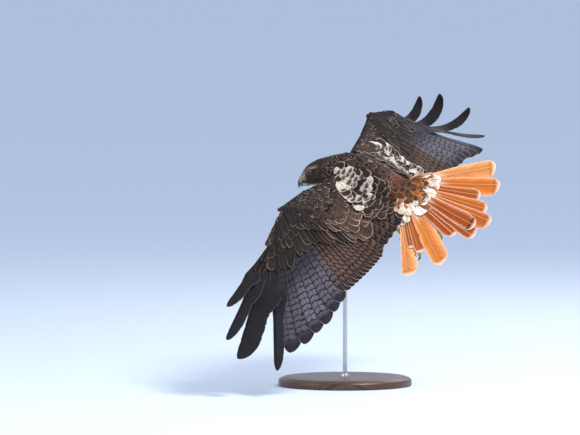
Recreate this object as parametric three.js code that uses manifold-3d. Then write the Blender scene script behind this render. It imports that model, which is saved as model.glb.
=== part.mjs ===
// A red tailed hawk in a banked turn, life size, held up by a plain display stand.
// Millimetres, +Z up. The origin is the middle of the stand's underside.
// The bird is modelled in its own frame, x to its right, y forward and z to its back,
// and one group turns and lifts it into the air.

import * as THREE from 'three';
import { mergeVertices } from 'three/addons/utils/BufferGeometryUtils.js';
import Module from 'manifold-3d';

const wasm = await Module();
wasm.setup();

// Gap between neighbouring pieces, and how far a cut stands off the piece it clears.
const GAP = 0.32;
const CLEARANCE = 0.3;

// Slivers finer than this are taken off after a join or a cut.
const FINEST = 0.02;

// Flight attitude in degrees, and the middle of the trunk above the floor.
const HEADING = 23.4;
const PITCH = 19.5;
const BANK = 38;
const TRUNK_CENTRE = [50, -23, 464];

// Trunk from tail to neck: distance forward, half width, height of back, depth of belly.
const TRUNK_PROFILE = [
  [-88, 27, 31, 12],
  [-66, 38, 38, 31],
  [-36, 48, 44, 46],
  [0, 54, 48, 53],
  [32, 53, 49, 53],
  [56, 46, 46, 45],
  [72, 40, 42, 35],
];

// Head: where its middle is above the floor, how far the bill points down, and its
// sections from nape to bill as distance forward, half width, crown and throat.
const HEAD_CENTRE = [-61, 13, 482.8];
const HEAD_DOWN = 3;
const HEAD_PROFILE = [
  [-16, 30, 29, 31],
  [-6, 29.5, 27.5, 31],
  [5, 27.5, 23.5, 31],
  [15, 24.5, 18.5, 31.5],
  [24, 20, 12, 32],
  [31, 15, 4.5, 32.3],
  [36.5, 10.5, -3.5, 32.5],
];

// Eyes: how far forward, up and out, their size and the lid round them.
const EYE = { fore: 18.9, up: -1, out: 16.6, radius: 8 };
const LID = { radius: 6.4, tube: 1.5, out: 22 };

// Bill: the ridge and the cutting edge as [forward, up] from face to tip, and half widths.
const CERE = { ridge: [[36.9, -4.5], [41, -9], [44.3, -15.8]],
  edge: [[36.9, -26.4], [37.8, -26.9], [38.8, -27.6]], half: [9.2, 8.8, 7.8] };
const BILL = { ridge: [[44.5, -16.2], [46.6, -22.5], [46.3, -29.5], [43.6, -36.9]],
  edge: [[39, -27.9], [40.9, -29.3], [42.2, -32], [42.9, -37.2]], half: [7.7, 6.3, 3.8, 0.7] };
const JAW = { ridge: [[36.9, -27], [38.8, -28.2], [40.6, -29.8]],
  edge: [[36.9, -32.2], [39, -32.8], [40.9, -31.6]], half: [8.2, 6.4, 3] };

// Arm bones, the shoulder in the bird's frame, and the thickness of the feathered arm.
const HUMERUS = 108;
const ULNA = 125;
const HAND = 92;
const SHOULDER = [40, 42, 18];
const ARM_THICKNESS = [28, 24, 22, 20, 18];
const HAND_THICKNESS = [16, 11.4];

// Flight feathers, from the wing tip inward.
const PRIMARIES = 10;
const SECONDARIES = 12;
const TERTIAL = { count: 5, root: [0.12, 0.72], sweep: 90, length: [134, 162] };
const VANE_THICKNESS = 0.8;
const SHINGLE = 2;
const STATION_STEP = 75;
const SPREAD_START = 60;
const SHAFT_STEPS = 24;
const TIP = { length: 26, width: 0.4 };

// Webs of each kind of feather: half width on the leading and the trailing side, how far
// they may reach towards the next shafts, as shares of the space between, and the share
// that a notched finger loses. Coverts also have a root before or behind the line of the
// quills, a length and a height over the quills.
const FINGERS = 4;
const FINGER = { lead: 11, reach: [0.4, 0.9], notch: 0.36, step: 37.5 };
const FLIGHT = { lead: 16, trail: 30, reach: [0.4, 0.9] };
const RECTRIX = { lead: 17, trail: 25, reach: [0.4, 0.9] };
const TOP_RECTRIX = { lead: 20, trail: 20, reach: [0.9, 0.9], lift: 2 };
const PRIMARY_COVERT = { lead: 12, trail: 16, reach: [0.45, 0.8], start: -2, length: 98, lift: 4 };
const SECONDARY_COVERT = { lead: 14, trail: 18, reach: [0.45, 0.8], start: -8, length: 84, lift: 4 };
const MEDIAN_COVERT = { lead: 14, trail: 16, reach: [0.45, 0.8], start: -10, length: 46, lift: 7.9 };
const TAIL_COVERT = { lead: 12, trail: 14, reach: [0.4, 0.85], start: 12, length: 96, lift: 4.8 };
const TOP_TAIL_COVERT = { lead: 14, trail: 14, reach: [0.85, 0.85], start: 12, length: 104, lift: 6.8 };
const ALULA_WEB = { lead: 7, trail: 12, reach: [0.5, 0.9] };
const ALULA = { count: 3, length: 92, shorter: 16, root: [12, 4, 6], tip: [-5, 5], step: [4, 9] };
const SCAPULAR_WEB = { lead: 17, trail: 17, reach: [0.6, 1.1] };
const SCAPULAR = { count: 6, first: [38, 46, 30], last: [22, -26, 36], length: [96, 76],
  outward: [24, 10], turn: [-10, -6] };

// Each wing: where the wrist is, how far from it the tips of the primaries are, how the
// feathers sweep back and droop, in degrees, and how far the fingers bend up as a share
// of their length, the more near the tip the higher the curl, and their trailing webs.
const LEFT_WING = {
  side: -1, wrist: [222, 81, 54],
  primaryReach: [295, 359, 383, 386, 339, 319, 296, 281, 259, 244],
  primarySweep: [3.2, 7.8, 12.9, 26.7, 31.8, 38.3, 44.5, 50.4, 57.3, 63],
  primaryDroop: [6, 11.5, 16, 20.3, 21.6, 22.3, 22.5, 22.5, 22.4, 22.2],
  secondarySweep: [68, 88], secondaryDroop: [22, 18], tertialDroop: [17, 6],
  fingerTurn: [17, 17, 15, 12, 9], curl: 2, fingerTrail: [28, 29, 60, 28],
  handSweep: 2, handDroop: 16, frontEdge: [20, 34, 24],
};
const RIGHT_WING = {
  side: 1, wrist: [194, 102, -23.5],
  primaryReach: [257, 326, 335, 382, 336, 313, 288, 271, 258, 242],
  primarySweep: [-0.3, 3.7, 19.6, 27.5, 39.7, 43.5, 47.7, 51.9, 57.3, 64.2],
  primaryDroop: [29.6, 29.7, 28.6, 36.3, 36, 36.2, 36.2, 35.9, 35.3, 34.4],
  secondarySweep: [69, 95], secondaryDroop: [33, 28], tertialDroop: [27, 7],
  fingerTurn: [135, 135, 103, 16, 12], curl: 4.4, fingerTrail: [28, 34, 28, 28],
  handSweep: 10, handDroop: 31, frontEdge: [29, 18, 11],
};

// Tail: its turn against the trunk in degrees, and from the outermost right feather to
// the outermost left one the angle and length of each, a few of them still short.
const TAIL = { base: [5.6, -88, 24], yaw: -5.6, drop: 11.4, twist: -22.3, rootHalf: 13 };
const TAIL_ANGLES = [48, 36, 28, 19, 12.5, 5, -1.2, -9, -28.5, -40, -46, -50.5];
const TAIL_LENGTHS = [214, 220, 178, 200, 219, 192, 204, 168, 209, 165, 150, 216];

// Legs, in the bird's frame: knee, hock and foot, then the rod and base of the stand.
const LEGS = [
  { name: 'left', side: -1, knee: [-36, 5, -34], hock: [-42, -84, -56], foot: [-38, -140, -98] },
  { name: 'right', side: 1, knee: [36, 5, -34], hock: [34, -90, -56], foot: [22, -158, -96] },
];
const TOES = [{ turn: -30, length: 36 }, { turn: 0, length: 44 }, { turn: 30, length: 36 },
  { turn: 176, length: 26 }];
const TOE_CURL = 0.4;
const CLAW = { length: 15, drop: 8, radii: [2.7, 2.7, 2.2, 1.4, 0.4] };
const STAND = { radius: 150, thickness: 20, edge: 3, rodRadius: 5 };

const v = (x, y, z) => new THREE.Vector3(x, y, z);
const from = (list) => new THREE.Vector3(...list);
const mix = (a, b, t) => a.clone().lerp(b, t);
const lerp = THREE.MathUtils.lerp;
const smoothstep = THREE.MathUtils.smoothstep;
const radians = THREE.MathUtils.degToRad;

// Value of a short list read at a share of its length, straight between entries.
function read(list, t) {
  const place = THREE.MathUtils.clamp(t, 0, 1) * (list.length - 1);
  const k = Math.min(Math.floor(place), list.length - 2);
  return lerp(list[k], list[k + 1], place - k);
}

// Attitude of the bird: first level and flying to the left, then pitched and banked.
function birdMatrix() {
  const fore = v(-Math.cos(radians(PITCH)) * Math.cos(radians(HEADING)),
    Math.cos(radians(PITCH)) * Math.sin(radians(HEADING)), Math.sin(radians(PITCH)));
  const level = fore.clone().cross(v(0, 0, 1)).normalize();
  const right = level.applyAxisAngle(fore, -radians(BANK));
  const back = right.clone().cross(fore);
  return new THREE.Matrix4().makeBasis(right, fore, back).setPosition(...TRUNK_CENTRE);
}

const BIRD = birdMatrix();

// The head is held level while the body banks: its own frame, seen from the bird's.
function headMatrix() {
  const fore = v(-Math.cos(radians(HEAD_DOWN)), 0, -Math.sin(radians(HEAD_DOWN)));
  const right = v(0, 1, 0);
  const up = right.clone().cross(fore);
  const head = new THREE.Matrix4().makeBasis(right, fore, up).setPosition(...HEAD_CENTRE);
  return BIRD.clone().invert().multiply(head);
}

const HEAD = headMatrix();

function geometry(points, faces) {
  const built = new THREE.BufferGeometry();
  built.setAttribute('position', new THREE.Float32BufferAttribute(points.flatMap((p) => [...p]), 3));
  built.setIndex(faces.flat());
  return built;
}

// Turns a closed geometry into a solid, with its faces outward.
function solid(shape) {
  const bare = shape.clone();
  bare.deleteAttribute('normal');
  bare.deleteAttribute('uv');
  const merged = mergeVertices(bare, 1e-4);
  const vertProperties = Float32Array.from(merged.attributes.position.array);
  const triVerts = Uint32Array.from(merged.index.array);
  const body = new wasm.Manifold(new wasm.Mesh({ numProp: 3, vertProperties, triVerts }));
  if (body.volume() > 0) return body;
  for (let k = 0; k < triVerts.length; k += 3) {
    [triVerts[k], triVerts[k + 1]] = [triVerts[k + 1], triVerts[k]];
  }
  return new wasm.Manifold(new wasm.Mesh({ numProp: 3, vertProperties, triVerts }));
}

// The closed skin through rings of equal count, with flat ends.
function skin(rings) {
  const count = rings[0].length;
  const faces = [];
  for (let k = 0; k + 1 < rings.length; k += 1) {
    for (let j = 0; j < count; j += 1) {
      const a = k * count + j;
      const b = k * count + ((j + 1) % count);
      faces.push([a, b, b + count], [a, b + count, a + count]);
    }
  }
  const last = (rings.length - 1) * count;
  for (let j = 1; j + 1 < count; j += 1) {
    faces.push([0, j + 1, j], [last, last + j, last + j + 1]);
  }
  return geometry(rings.flat(), faces);
}

function loft(rings) {
  return solid(skin(rings));
}

// A thin body between two grids that are split into triangles alike.
function sheet(top, bottom) {
  const rows = top.length;
  const cols = top[0].length;
  const lower = rows * cols;
  const faces = [];
  for (let r = 0; r + 1 < rows; r += 1) {
    for (let c = 0; c + 1 < cols; c += 1) {
      const a = r * cols + c;
      const d = a + cols;
      faces.push([a, a + 1, d + 1], [a, d + 1, d]);
      faces.push([lower + a, lower + d + 1, lower + a + 1], [lower + a, lower + d, lower + d + 1]);
    }
  }
  const rim = [];
  for (let c = 0; c < cols - 1; c += 1) rim.push(c);
  for (let r = 0; r < rows - 1; r += 1) rim.push(r * cols + cols - 1);
  for (let c = cols - 1; c > 0; c -= 1) rim.push((rows - 1) * cols + c);
  for (let r = rows - 1; r > 0; r -= 1) rim.push(r * cols);
  rim.forEach((p, k) => {
    const q = rim[(k + 1) % rim.length];
    faces.push([p, lower + q, q], [p, lower + p, lower + q]);
  });
  return solid(geometry([...top.flat(), ...bottom.flat()], faces));
}

// Joins pieces, cuts what must stay clear, and keeps the largest closed surface.
function join(pieces, cuts = []) {
  let whole = pieces.reduce((sum, piece) => sum.add(piece));
  for (const cut of cuts) whole = whole.subtract(cut);
  const parts = whole.simplify(FINEST).decompose();
  return parts.reduce((best, part) => (part.volume() > best.volume() ? part : best));
}

function named(name, body, colour, roughness = 0.8, metalness = 0) {
  const { vertProperties, triVerts } = body.getMesh();
  const built = new THREE.BufferGeometry();
  built.setAttribute('position', new THREE.BufferAttribute(new Float32Array(vertProperties), 3));
  built.setIndex(Array.from(triVerts));
  built.computeVertexNormals();
  const mesh = new THREE.Mesh(built, new THREE.MeshStandardMaterial({ color: colour, roughness, metalness }));
  mesh.name = name;
  return mesh;
}

// Ring of a body section: an oval with its own height above and depth below the middle.
function oval(centre, across, up, half, above, below, count, swell = 0) {
  return Array.from({ length: count }, (_, k) => {
    const turn = (2 * Math.PI * k) / count;
    const height = Math.sin(turn) > 0 ? above : below;
    return centre.clone()
      .addScaledVector(across, Math.cos(turn) * (half + swell))
      .addScaledVector(up, Math.sin(turn) * (height + swell));
  });
}

// Smooth section table: rows of numbers read at evenly finer places.
function refine(rows, finer) {
  const curve = (k) => new THREE.CatmullRomCurve3(rows.map((row) => v(row[0], row[k], 0)));
  const steps = (rows.length - 1) * finer;
  return Array.from({ length: steps + 1 }, (_, n) => {
    const t = n / steps;
    return [curve(1).getPoint(t).x, ...rows[0].slice(1).map((_, k) => curve(k + 1).getPoint(t).y)];
  });
}

const X = v(1, 0, 0);
const Y = v(0, 1, 0);
const Z = v(0, 0, 1);

function trunk(swell = 0) {
  const rings = refine(TRUNK_PROFILE, 2).map(([fore, half, above, below]) => (
    oval(v(0, fore, 0), X, Z, half, above, below, 20, swell)));
  return loft(rings);
}

// The shoulder feathers lie over the root of the wing, rooted along the back.
function scapulars(side, swell = 0) {
  const { count, first, last, length, outward, turn } = SCAPULAR;
  const mirror = v(side, 1, 1);
  const shafts = Array.from({ length: count }, (_, k) => {
    const t = k / (count - 1);
    const root = mix(from(first), from(last), t).multiply(mirror);
    const angle = radians(lerp(...outward, t));
    const along = v(side * Math.sin(angle), -Math.cos(angle), Math.tan(radians(lerp(...turn, t))));
    return shaft(root, root.clone().addScaledVector(along.normalize(), lerp(...length, t)), 3.5);
  });
  const fan = fanOf(shafts, side);
  return shafts.map((_, k) => vane(fan, k, SCAPULAR_WEB, 1, swell));
}

function headRing([fore, half, above, below], shift = 0, shrink = 1) {
  const middle = (above - below) / 2;
  const height = (above + below) / 2;
  const ring = oval(v(0, fore + shift, middle), X, Z, half * shrink, height * shrink, height * shrink, 20);
  return ring.map((p) => p.applyMatrix4(HEAD));
}

// The neck runs from the trunk's front face to the nape.
function neck(swell = 0) {
  const [fore, half, above, below] = TRUNK_PROFILE.at(-1);
  const start = oval(v(0, fore + GAP, 0), X, Z, half, above, below, 20);
  const end = headRing(HEAD_PROFILE[0], -GAP);
  const order = end.map((_, k) => k);
  const shifts = order.map((shift) => (
    order.reduce((sum, k) => sum + start[k].distanceTo(end[(k + shift) % end.length]), 0)));
  const best = shifts.indexOf(Math.min(...shifts));
  const bulge = [swell, 1.2 + swell, swell];
  const rings = [0, 1 / 3, 2 / 3, 1].map((t) => start.map((p, k) => {
    const q = end[(k + best) % end.length];
    const point = mix(p, q, t);
    const middle = mix(v(0, fore, 3), v(0, 0, 0).applyMatrix4(HEAD), t);
    return point.addScaledVector(point.clone().sub(middle).normalize(), read(bulge, t));
  }));
  return loft(rings);
}

function ball(centre, radius, across = 14, down = 8) {
  return new THREE.SphereGeometry(radius, across, down).translate(...centre);
}

function inHead(shape) {
  return solid(shape.applyMatrix4(HEAD));
}

// The brow is a hard ridge that overhangs the eye.
function brow(side) {
  const along = [[29, 3.2, 14.5, 1], [24, 5.6, 19, 2.4], [17, 7.6, 22, 2.8], [9, 8.6, 23, 1.2]];
  const rings = along.map(([fore, up, out, size]) => (
    oval(v(side * out, fore, up), X, Z, size * 1.3, size, size, 8)));
  return inHead(skin(rings));
}

function lid(side) {
  const ring = new THREE.TorusGeometry(LID.radius, LID.tube, 5, 16);
  ring.rotateY(Math.PI / 2).rotateZ(side * radians(-22));
  return inHead(ring.translate(side * LID.out, EYE.fore, EYE.up));
}

function eyePlace(side) {
  return [side * EYE.out, EYE.fore, EYE.up];
}

// The mouth line runs back from the bill to below the eye.
function mouthCut(side) {
  const rings = [[38, -27.1, 12, 1], [30, -26.6, 17, 1], [20, -27, 23, 0.9], [10, -28.6, 27, 0.5]]
    .map(([fore, up, out, size]) => oval(v(side * out, fore, up), X, Z, 3.2, size, size, 6));
  return inHead(skin(rings));
}

function head() {
  const rings = refine(HEAD_PROFILE, 2).map((row) => headRing(row));
  const pieces = [loft(rings), brow(-1), brow(1), lid(-1), lid(1)];
  const cuts = [-1, 1].flatMap((side) => [
    inHead(ball(eyePlace(side), EYE.radius + CLEARANCE)), mouthCut(side)]);
  return join(pieces, cuts);
}

// A length of bill between its ridge and its cutting edge.
function billPiece({ ridge, edge, half }, count = 12) {
  const rings = ridge.map(([fore, up], k) => {
    const top = v(0, fore, up);
    const low = v(0, ...edge[k]);
    const middle = mix(top, low, 0.5);
    const rise = top.clone().sub(middle);
    return oval(middle, X, rise.clone().normalize(), half[k], rise.length(), rise.length(), count);
  });
  return inHead(skin(rings));
}

function cere() {
  const nostrils = [-1, 1].map((side) => {
    const hole = new THREE.CylinderGeometry(1.3, 1.3, 4, 10).rotateZ(Math.PI / 2);
    return inHead(hole.translate(side * 9.2, 40.6, -16));
  });
  return join([billPiece(CERE)], nostrils);
}

// Directions in the bird's frame from a sweep back and a droop, in degrees.
function ray(side, sweep, droop) {
  return v(side * Math.cos(radians(droop)) * Math.cos(radians(sweep)),
    -Math.cos(radians(droop)) * Math.sin(radians(sweep)), -Math.sin(radians(droop)));
}

// A shaft of even steps turns towards the back, by an angle in degrees at its tip, the later
// along its length the higher the curl.
function shaft(root, tip, turn, curl = 2) {
  const line = [[0, 0]];
  for (let k = 0; k < SHAFT_STEPS; k += 1) {
    const angle = radians(turn) * ((k + 0.5) / SHAFT_STEPS) ** curl;
    line.push([line[k][0] + Math.cos(angle) / SHAFT_STEPS, line[k][1] + Math.sin(angle) / SHAFT_STEPS]);
  }
  const [reach, height] = line.at(-1);
  const length = root.distanceTo(tip) / Math.hypot(reach, height);
  const along = tip.clone().sub(root).normalize();
  const up = Z.clone().addScaledVector(along, -Z.dot(along)).normalize();
  const lean = Math.atan2(height, reach);
  const straight = along.clone().multiplyScalar(Math.cos(lean)).addScaledVector(up, -Math.sin(lean));
  const rise = along.multiplyScalar(Math.sin(lean)).addScaledVector(up, Math.cos(lean));
  return {
    length,
    at: (s) => {
      const place = (s / length) * SHAFT_STEPS;
      const k = THREE.MathUtils.clamp(Math.floor(place), 0, SHAFT_STEPS - 1);
      return root.clone().addScaledVector(straight, length * lerp(line[k][0], line[k + 1][0], place - k))
        .addScaledVector(rise, length * lerp(line[k][1], line[k + 1][1], place - k));
    },
  };
}

// A fan is the surface through neighbouring shafts: q counts shafts, s runs along them.
// The shafts start close together, so its slope there is that of the opened fan.
function fanOf(shafts, side) {
  const at = (q, s) => {
    const k = THREE.MathUtils.clamp(Math.floor(q), 0, shafts.length - 2);
    const a = shafts[k].at(s);
    return a.addScaledVector(shafts[k + 1].at(s).sub(a), q - k);
  };
  const slopes = (q, s) => ({
    along: at(q, s + 4).sub(at(q, s - 4)).normalize(),
    inward: at(q + 0.5, s).sub(at(q - 0.5, s)),
  });
  const normal = (q, s) => {
    const { along, inward } = slopes(q, Math.max(s, SPREAD_START));
    return inward.cross(along).multiplyScalar(side).normalize();
  };
  // What lies square to the shaft on the way to the next one.
  const across = (q, s) => {
    const { along, inward } = slopes(q, s);
    return inward.addScaledVector(along, -inward.dot(along));
  };
  // A finger that is free of the fan lies square to the line of flight.
  const free = (q, s) => {
    const { along } = slopes(q, s);
    const aft = Y.clone().addScaledVector(along, -Y.dot(along)).negate().normalize();
    return { aft, up: aft.clone().cross(along).multiplyScalar(side).normalize() };
  };
  return { shafts, at, normal, across, free };
}

function wingJoints({ side, wrist }) {
  const shoulder = v(side * SHOULDER[0], SHOULDER[1], SHOULDER[2]);
  const hand = v(side * wrist[0], wrist[1], wrist[2]);
  const reach = shoulder.distanceTo(hand);
  const along = hand.clone().sub(shoulder).normalize();
  const near = (HUMERUS ** 2 - ULNA ** 2 + reach ** 2) / (2 * reach);
  const aft = v(0, -1, -0.75);
  aft.addScaledVector(along, -aft.dot(along)).normalize();
  const elbow = shoulder.clone().addScaledVector(along, near)
    .addScaledVector(aft, Math.sqrt(HUMERUS ** 2 - near ** 2));
  return { shoulder, elbow, wrist: hand };
}

function wingFan(wing) {
  const { side } = wing;
  const { shoulder, elbow, wrist } = wingJoints(wing);
  const handAlong = ray(side, wing.handSweep, wing.handDroop);
  const shafts = [];
  for (let k = 0; k < PRIMARIES; k += 1) {
    const t = k / (PRIMARIES - 1);
    const root = wrist.clone().addScaledVector(handAlong, lerp(HAND - 6, 6, t));
    const tip = wrist.clone().addScaledVector(
      ray(side, wing.primarySweep[k], wing.primaryDroop[k]), wing.primaryReach[k]);
    shafts.push(shaft(root, tip, wing.fingerTurn[k] ?? 7, k < FINGERS ? wing.curl : 2));
  }
  for (let k = 0; k < SECONDARIES; k += 1) {
    const t = k / (SECONDARIES - 1);
    const root = mix(wrist, elbow, lerp(0.05, 0.97, t));
    const along = ray(side, lerp(...wing.secondarySweep, t), lerp(...wing.secondaryDroop, t));
    shafts.push(shaft(root, root.clone().addScaledVector(along, lerp(222, 138, t)), 5));
  }
  for (let k = 0; k < TERTIAL.count; k += 1) {
    const t = k / (TERTIAL.count - 1);
    const root = mix(elbow, shoulder, lerp(...TERTIAL.root, t));
    const along = ray(side, TERTIAL.sweep, lerp(...wing.tertialDroop, t));
    shafts.push(shaft(root, root.clone().addScaledVector(along, lerp(...TERTIAL.length, t)), 3.5));
  }
  return fanOf(shafts, side);
}

// Places along a feather: even steps, alike on all feathers of a fan so that their faces
// run side by side, and closer ones that round its tip.
function stations(start, length, step) {
  const places = [start];
  for (let s = 0; s < length - TIP.length - 15; s += step) {
    if (s > start + 15) places.push(s);
  }
  const tip = length - start > 200 ? [1, 0.35, 0] : [0.8, 0];
  return [...places, ...tip.map((share) => length - share * TIP.length)];
}

// Share of its full width that a feather has: the notch of a finger, then the round tip.
function breadth(s, length, notch) {
  const finger = 1 - notch * smoothstep(s / length, 0.42, 0.62);
  const end = Math.max((s - length) / TIP.length + 1, 0);
  return finger * Math.sqrt(1 - (1 - TIP.width ** 2) * end * end);
}

// One feather of a fan, at place q. over is 1 where it lies over the feather before it, -1
// where it lies over the one after it, 0 for a level one, and swell thickens it for a cut.
// A finger comes free of the fan at its notch.
function vane(fan, q, kind, over = 1, swell = 0) {
  const { lead, trail, reach, notch = 0, start = 0, lift = 0, step = STATION_STEP } = kind;
  const length = kind.length ?? fan.shafts[q].length;
  const half = VANE_THICKNESS / 2 + swell;
  const freed = (s) => (notch > 0 ? smoothstep(s / length, 0.3, 0.5) : 0);
  const edge = (s, toward, web, limit) => {
    const width = web * breadth(s, length, notch) + swell;
    const spacing = fan.across(q + toward / 2, s).length();
    const place = q + toward * Math.min(width / spacing, limit * breadth(s, length, 0));
    const height = lift + SHINGLE * over * (q - place);
    const { aft, up } = fan.free(q, s);
    const loose = fan.at(q, s).addScaledVector(aft, toward * width).addScaledVector(up, height);
    return fan.at(place, s).addScaledVector(fan.normal(place, s), height).lerp(loose, freed(s));
  };
  const places = stations(start, length, step);
  const rows = places.map((s) => [edge(s, -1, lead, reach[0]), edge(s, 1, trail, reach[1])]);
  const up = places.map((s) => fan.normal(q, s).lerp(fan.free(q, s).up, freed(s)).normalize());
  const grid = (side) => rows.map((row, r) => row.map((p) => p.clone().addScaledVector(up[r], side * half)));
  return sheet(grid(1), grid(-1));
}

// The feathered arm: a lens from the leading edge over the bone to the rear.
function lens(front, bone, rear, up, thickness, swell) {
  const shape = [[0, 0], [0.12, 0.42], [0.35, 0.5], [0.7, 0.34], [1, 0.1], [1, -0.1],
    [0.7, -0.26], [0.35, -0.4], [0.12, -0.36]];
  const out = rear.clone().sub(front).normalize();
  return shape.map(([t, h]) => (t < 0.7 ? mix(front, bone, t / 0.7) : mix(bone, rear, (t - 0.7) / 0.3))
    .addScaledVector(out, (t - 0.4) * 2 * swell)
    .addScaledVector(up, h * thickness + Math.sign(h) * swell));
}

function armCore(wing, fan, swell = 0) {
  const { shoulder, elbow, wrist } = wingJoints(wing);
  const bones = [shoulder, mix(shoulder, elbow, 0.5), elbow, mix(elbow, wrist, 0.5), wrist];
  const up = fan.normal(PRIMARIES + SECONDARIES / 2, 0);
  return loft(bones.map((bone, k) => {
    const t = k / (bones.length - 1);
    const front = mix(shoulder, wrist, t).addScaledVector(Y, read(wing.frontEdge, t));
    const rear = bone.clone().addScaledVector(Y, -lerp(26, 14, t));
    return lens(front, bone, rear, up, ARM_THICKNESS[k], swell);
  }));
}

// A row of feathers of one kind, one at every place from first to last.
function row(fan, first, last, kind) {
  return Array.from({ length: last - first + 1 }, (_, k) => vane(fan, first + k, kind));
}

function handFeathers(wing, fan) {
  const fingers = wing.fingerTrail.map((trail, q) => vane(fan, q, { ...FINGER, trail }));
  return [...fingers, ...row(fan, FINGERS, PRIMARIES - 1, FLIGHT),
    ...row(fan, 0.5, PRIMARIES - 1.5, PRIMARY_COVERT)];
}

function armFeathers(fan) {
  const last = PRIMARIES + SECONDARIES;
  return [...row(fan, PRIMARIES, last + TERTIAL.count - 1, FLIGHT),
    ...row(fan, PRIMARIES + 0.5, last - 0.5, SECONDARY_COVERT),
    ...row(fan, PRIMARIES + 2, last, MEDIAN_COVERT)];
}

// The bastard wing: three feathers on the thumb, over the front of the hand.
function alula(wing, fan) {
  const { wrist } = wingJoints(wing);
  const along = ray(wing.side, wing.handSweep, wing.handDroop);
  const up = fan.normal(4, 0);
  const front = up.clone().cross(along).multiplyScalar(wing.side).normalize();
  const shafts = Array.from({ length: ALULA.count }, (_, k) => {
    const [out, ahead, high] = ALULA.root;
    const root = wrist.clone().addScaledVector(along, out)
      .addScaledVector(front, ahead - ALULA.step[0] * k).addScaledVector(up, high);
    const tip = wrist.clone().addScaledVector(along, ALULA.length - ALULA.shorter * k)
      .addScaledVector(front, ALULA.tip[0] - ALULA.step[1] * k).addScaledVector(up, ALULA.tip[1]);
    return shaft(root, tip, 3.5);
  });
  const thumb = fanOf(shafts, wing.side);
  return shafts.map((_, k) => vane(thumb, k, ALULA_WEB));
}

function handCore(wing, fan, swell = 0) {
  const { wrist } = wingJoints(wing);
  const { side } = wing;
  const along = ray(side, wing.handSweep, wing.handDroop);
  const up = fan.normal(4, 0);
  const aft = up.clone().cross(along).multiplyScalar(-side).normalize();
  const rings = [0, 0.3, 0.65, 1].map((t) => {
    const centre = wrist.clone().addScaledVector(along, lerp(GAP, HAND, t));
    const front = centre.clone().addScaledVector(aft, -lerp(13, 8, t));
    const rear = centre.clone().addScaledVector(aft, lerp(20, 8, t));
    return lens(front, centre, rear, up, lerp(...HAND_THICKNESS, t), swell);
  });
  return loft(rings);
}

// Frame of the tail: x across to the right, y forward along the middle, z to its back.
function tailMatrix() {
  const turn = new THREE.Euler(radians(TAIL.drop), radians(TAIL.twist), radians(TAIL.yaw), 'ZXY');
  return new THREE.Matrix4().makeRotationFromEuler(turn).setPosition(...TAIL.base);
}

function tailFan() {
  const frame = tailMatrix();
  const last = TAIL_ANGLES.length - 1;
  const shafts = TAIL_ANGLES.map((degrees, k) => {
    const angle = radians(degrees);
    const root = v(lerp(TAIL.rootHalf, -TAIL.rootHalf, k / last), 0, 0).applyMatrix4(frame);
    const tip = v(Math.sin(angle), -Math.cos(angle), 0).multiplyScalar(TAIL_LENGTHS[k]);
    return shaft(root, tip.applyMatrix4(frame), 3.5);
  });
  return fanOf(shafts, 1);
}

// The middle feather lies on top, and each half is shingled outward from it.
function tailRow(fan, first, count, kind, topKind) {
  const middle = Math.floor((TAIL_ANGLES.length - 1) / 2);
  const mirrored = { ...kind, lead: kind.trail, trail: kind.lead, reach: [...kind.reach].reverse() };
  return Array.from({ length: count }, (_, k) => {
    if (k === middle) return vane(fan, first + k, topKind, 0);
    return k < middle ? vane(fan, first + k, kind) : vane(fan, first + k, mirrored, -1);
  });
}

function tailFeathers() {
  const fan = tailFan();
  const count = TAIL_ANGLES.length;
  return [...tailRow(fan, 0, count, RECTRIX, TOP_RECTRIX),
    ...tailRow(fan, 0.5, count - 1, TAIL_COVERT, TOP_TAIL_COVERT)];
}

function tailCore(swell = 0) {
  const [fore, half, above, below] = TRUNK_PROFILE[0];
  const frame = tailMatrix();
  const start = oval(v(0, fore - GAP, 0), X, Z, half, above, below, 20, swell);
  const spot = (back, wide, high, low) => (
    oval(v(0, -back, 0), X, Z, wide, high, low, 20, swell).map((p) => p.applyMatrix4(frame)));
  return loft([start, spot(8, 25, 7, 26), spot(24, 25, 7, 24), spot(45, 22, 4, 12), spot(62, 14, 2, 4)]);
}

function limb(points, radii, count = 8, swell = 0) {
  const rings = points.map((point, k) => {
    const ahead = points[Math.min(k + 1, points.length - 1)];
    const behind = points[Math.max(k - 1, 0)];
    const along = ahead.clone().sub(behind).normalize();
    const across = along.clone().cross(Math.abs(along.x) > 0.8 ? Y : X).normalize();
    return oval(point, across, along.clone().cross(across), radii[k], radii[k], radii[k], count, swell);
  });
  return loft(rings);
}

function thigh({ knee, hock }, swell = 0) {
  const top = from(knee).add(v(0, -8, 12));
  const points = [0, 0.3, 0.62, 0.86, 1].map((t) => mix(top, from(hock), t));
  return limb(points, [26, 25, 19, 12, 7], 14, swell);
}

// Three toes point on and one points back, all loosely curled: the line of each, and
// the way it curls.
function toeLines({ hock, foot: base, side }) {
  const sole = from(base);
  const down = sole.clone().sub(from(hock)).normalize();
  const across = X.clone().addScaledVector(down, -down.x).normalize();
  const curl = across.clone().cross(down).normalize();
  return TOES.map(({ turn, length }) => {
    const axis = curl.clone();
    const out = down.clone().applyAxisAngle(axis, radians(side * turn));
    return [0, 0.35, 0.7, 1].map((t) => sole.clone()
      .addScaledVector(out, length * t * (1 - 0.2 * t)).addScaledVector(curl, length * TOE_CURL * t * t));
  });
}

function foot(leg) {
  const sole = from(leg.foot);
  const ankle = from(leg.hock);
  const end = sole.clone().addScaledVector(sole.clone().sub(ankle).normalize(), 6);
  const shin = limb([ankle, mix(ankle, sole, 0.5), sole, end], [5.2, 4.4, 5.8, 3.5]);
  const toes = toeLines(leg).map((line) => limb(line, [4.6, 4.2, 3.6, 3], 7));
  return join([shin, ...toes], [thigh(leg, CLEARANCE)]);
}

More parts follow.
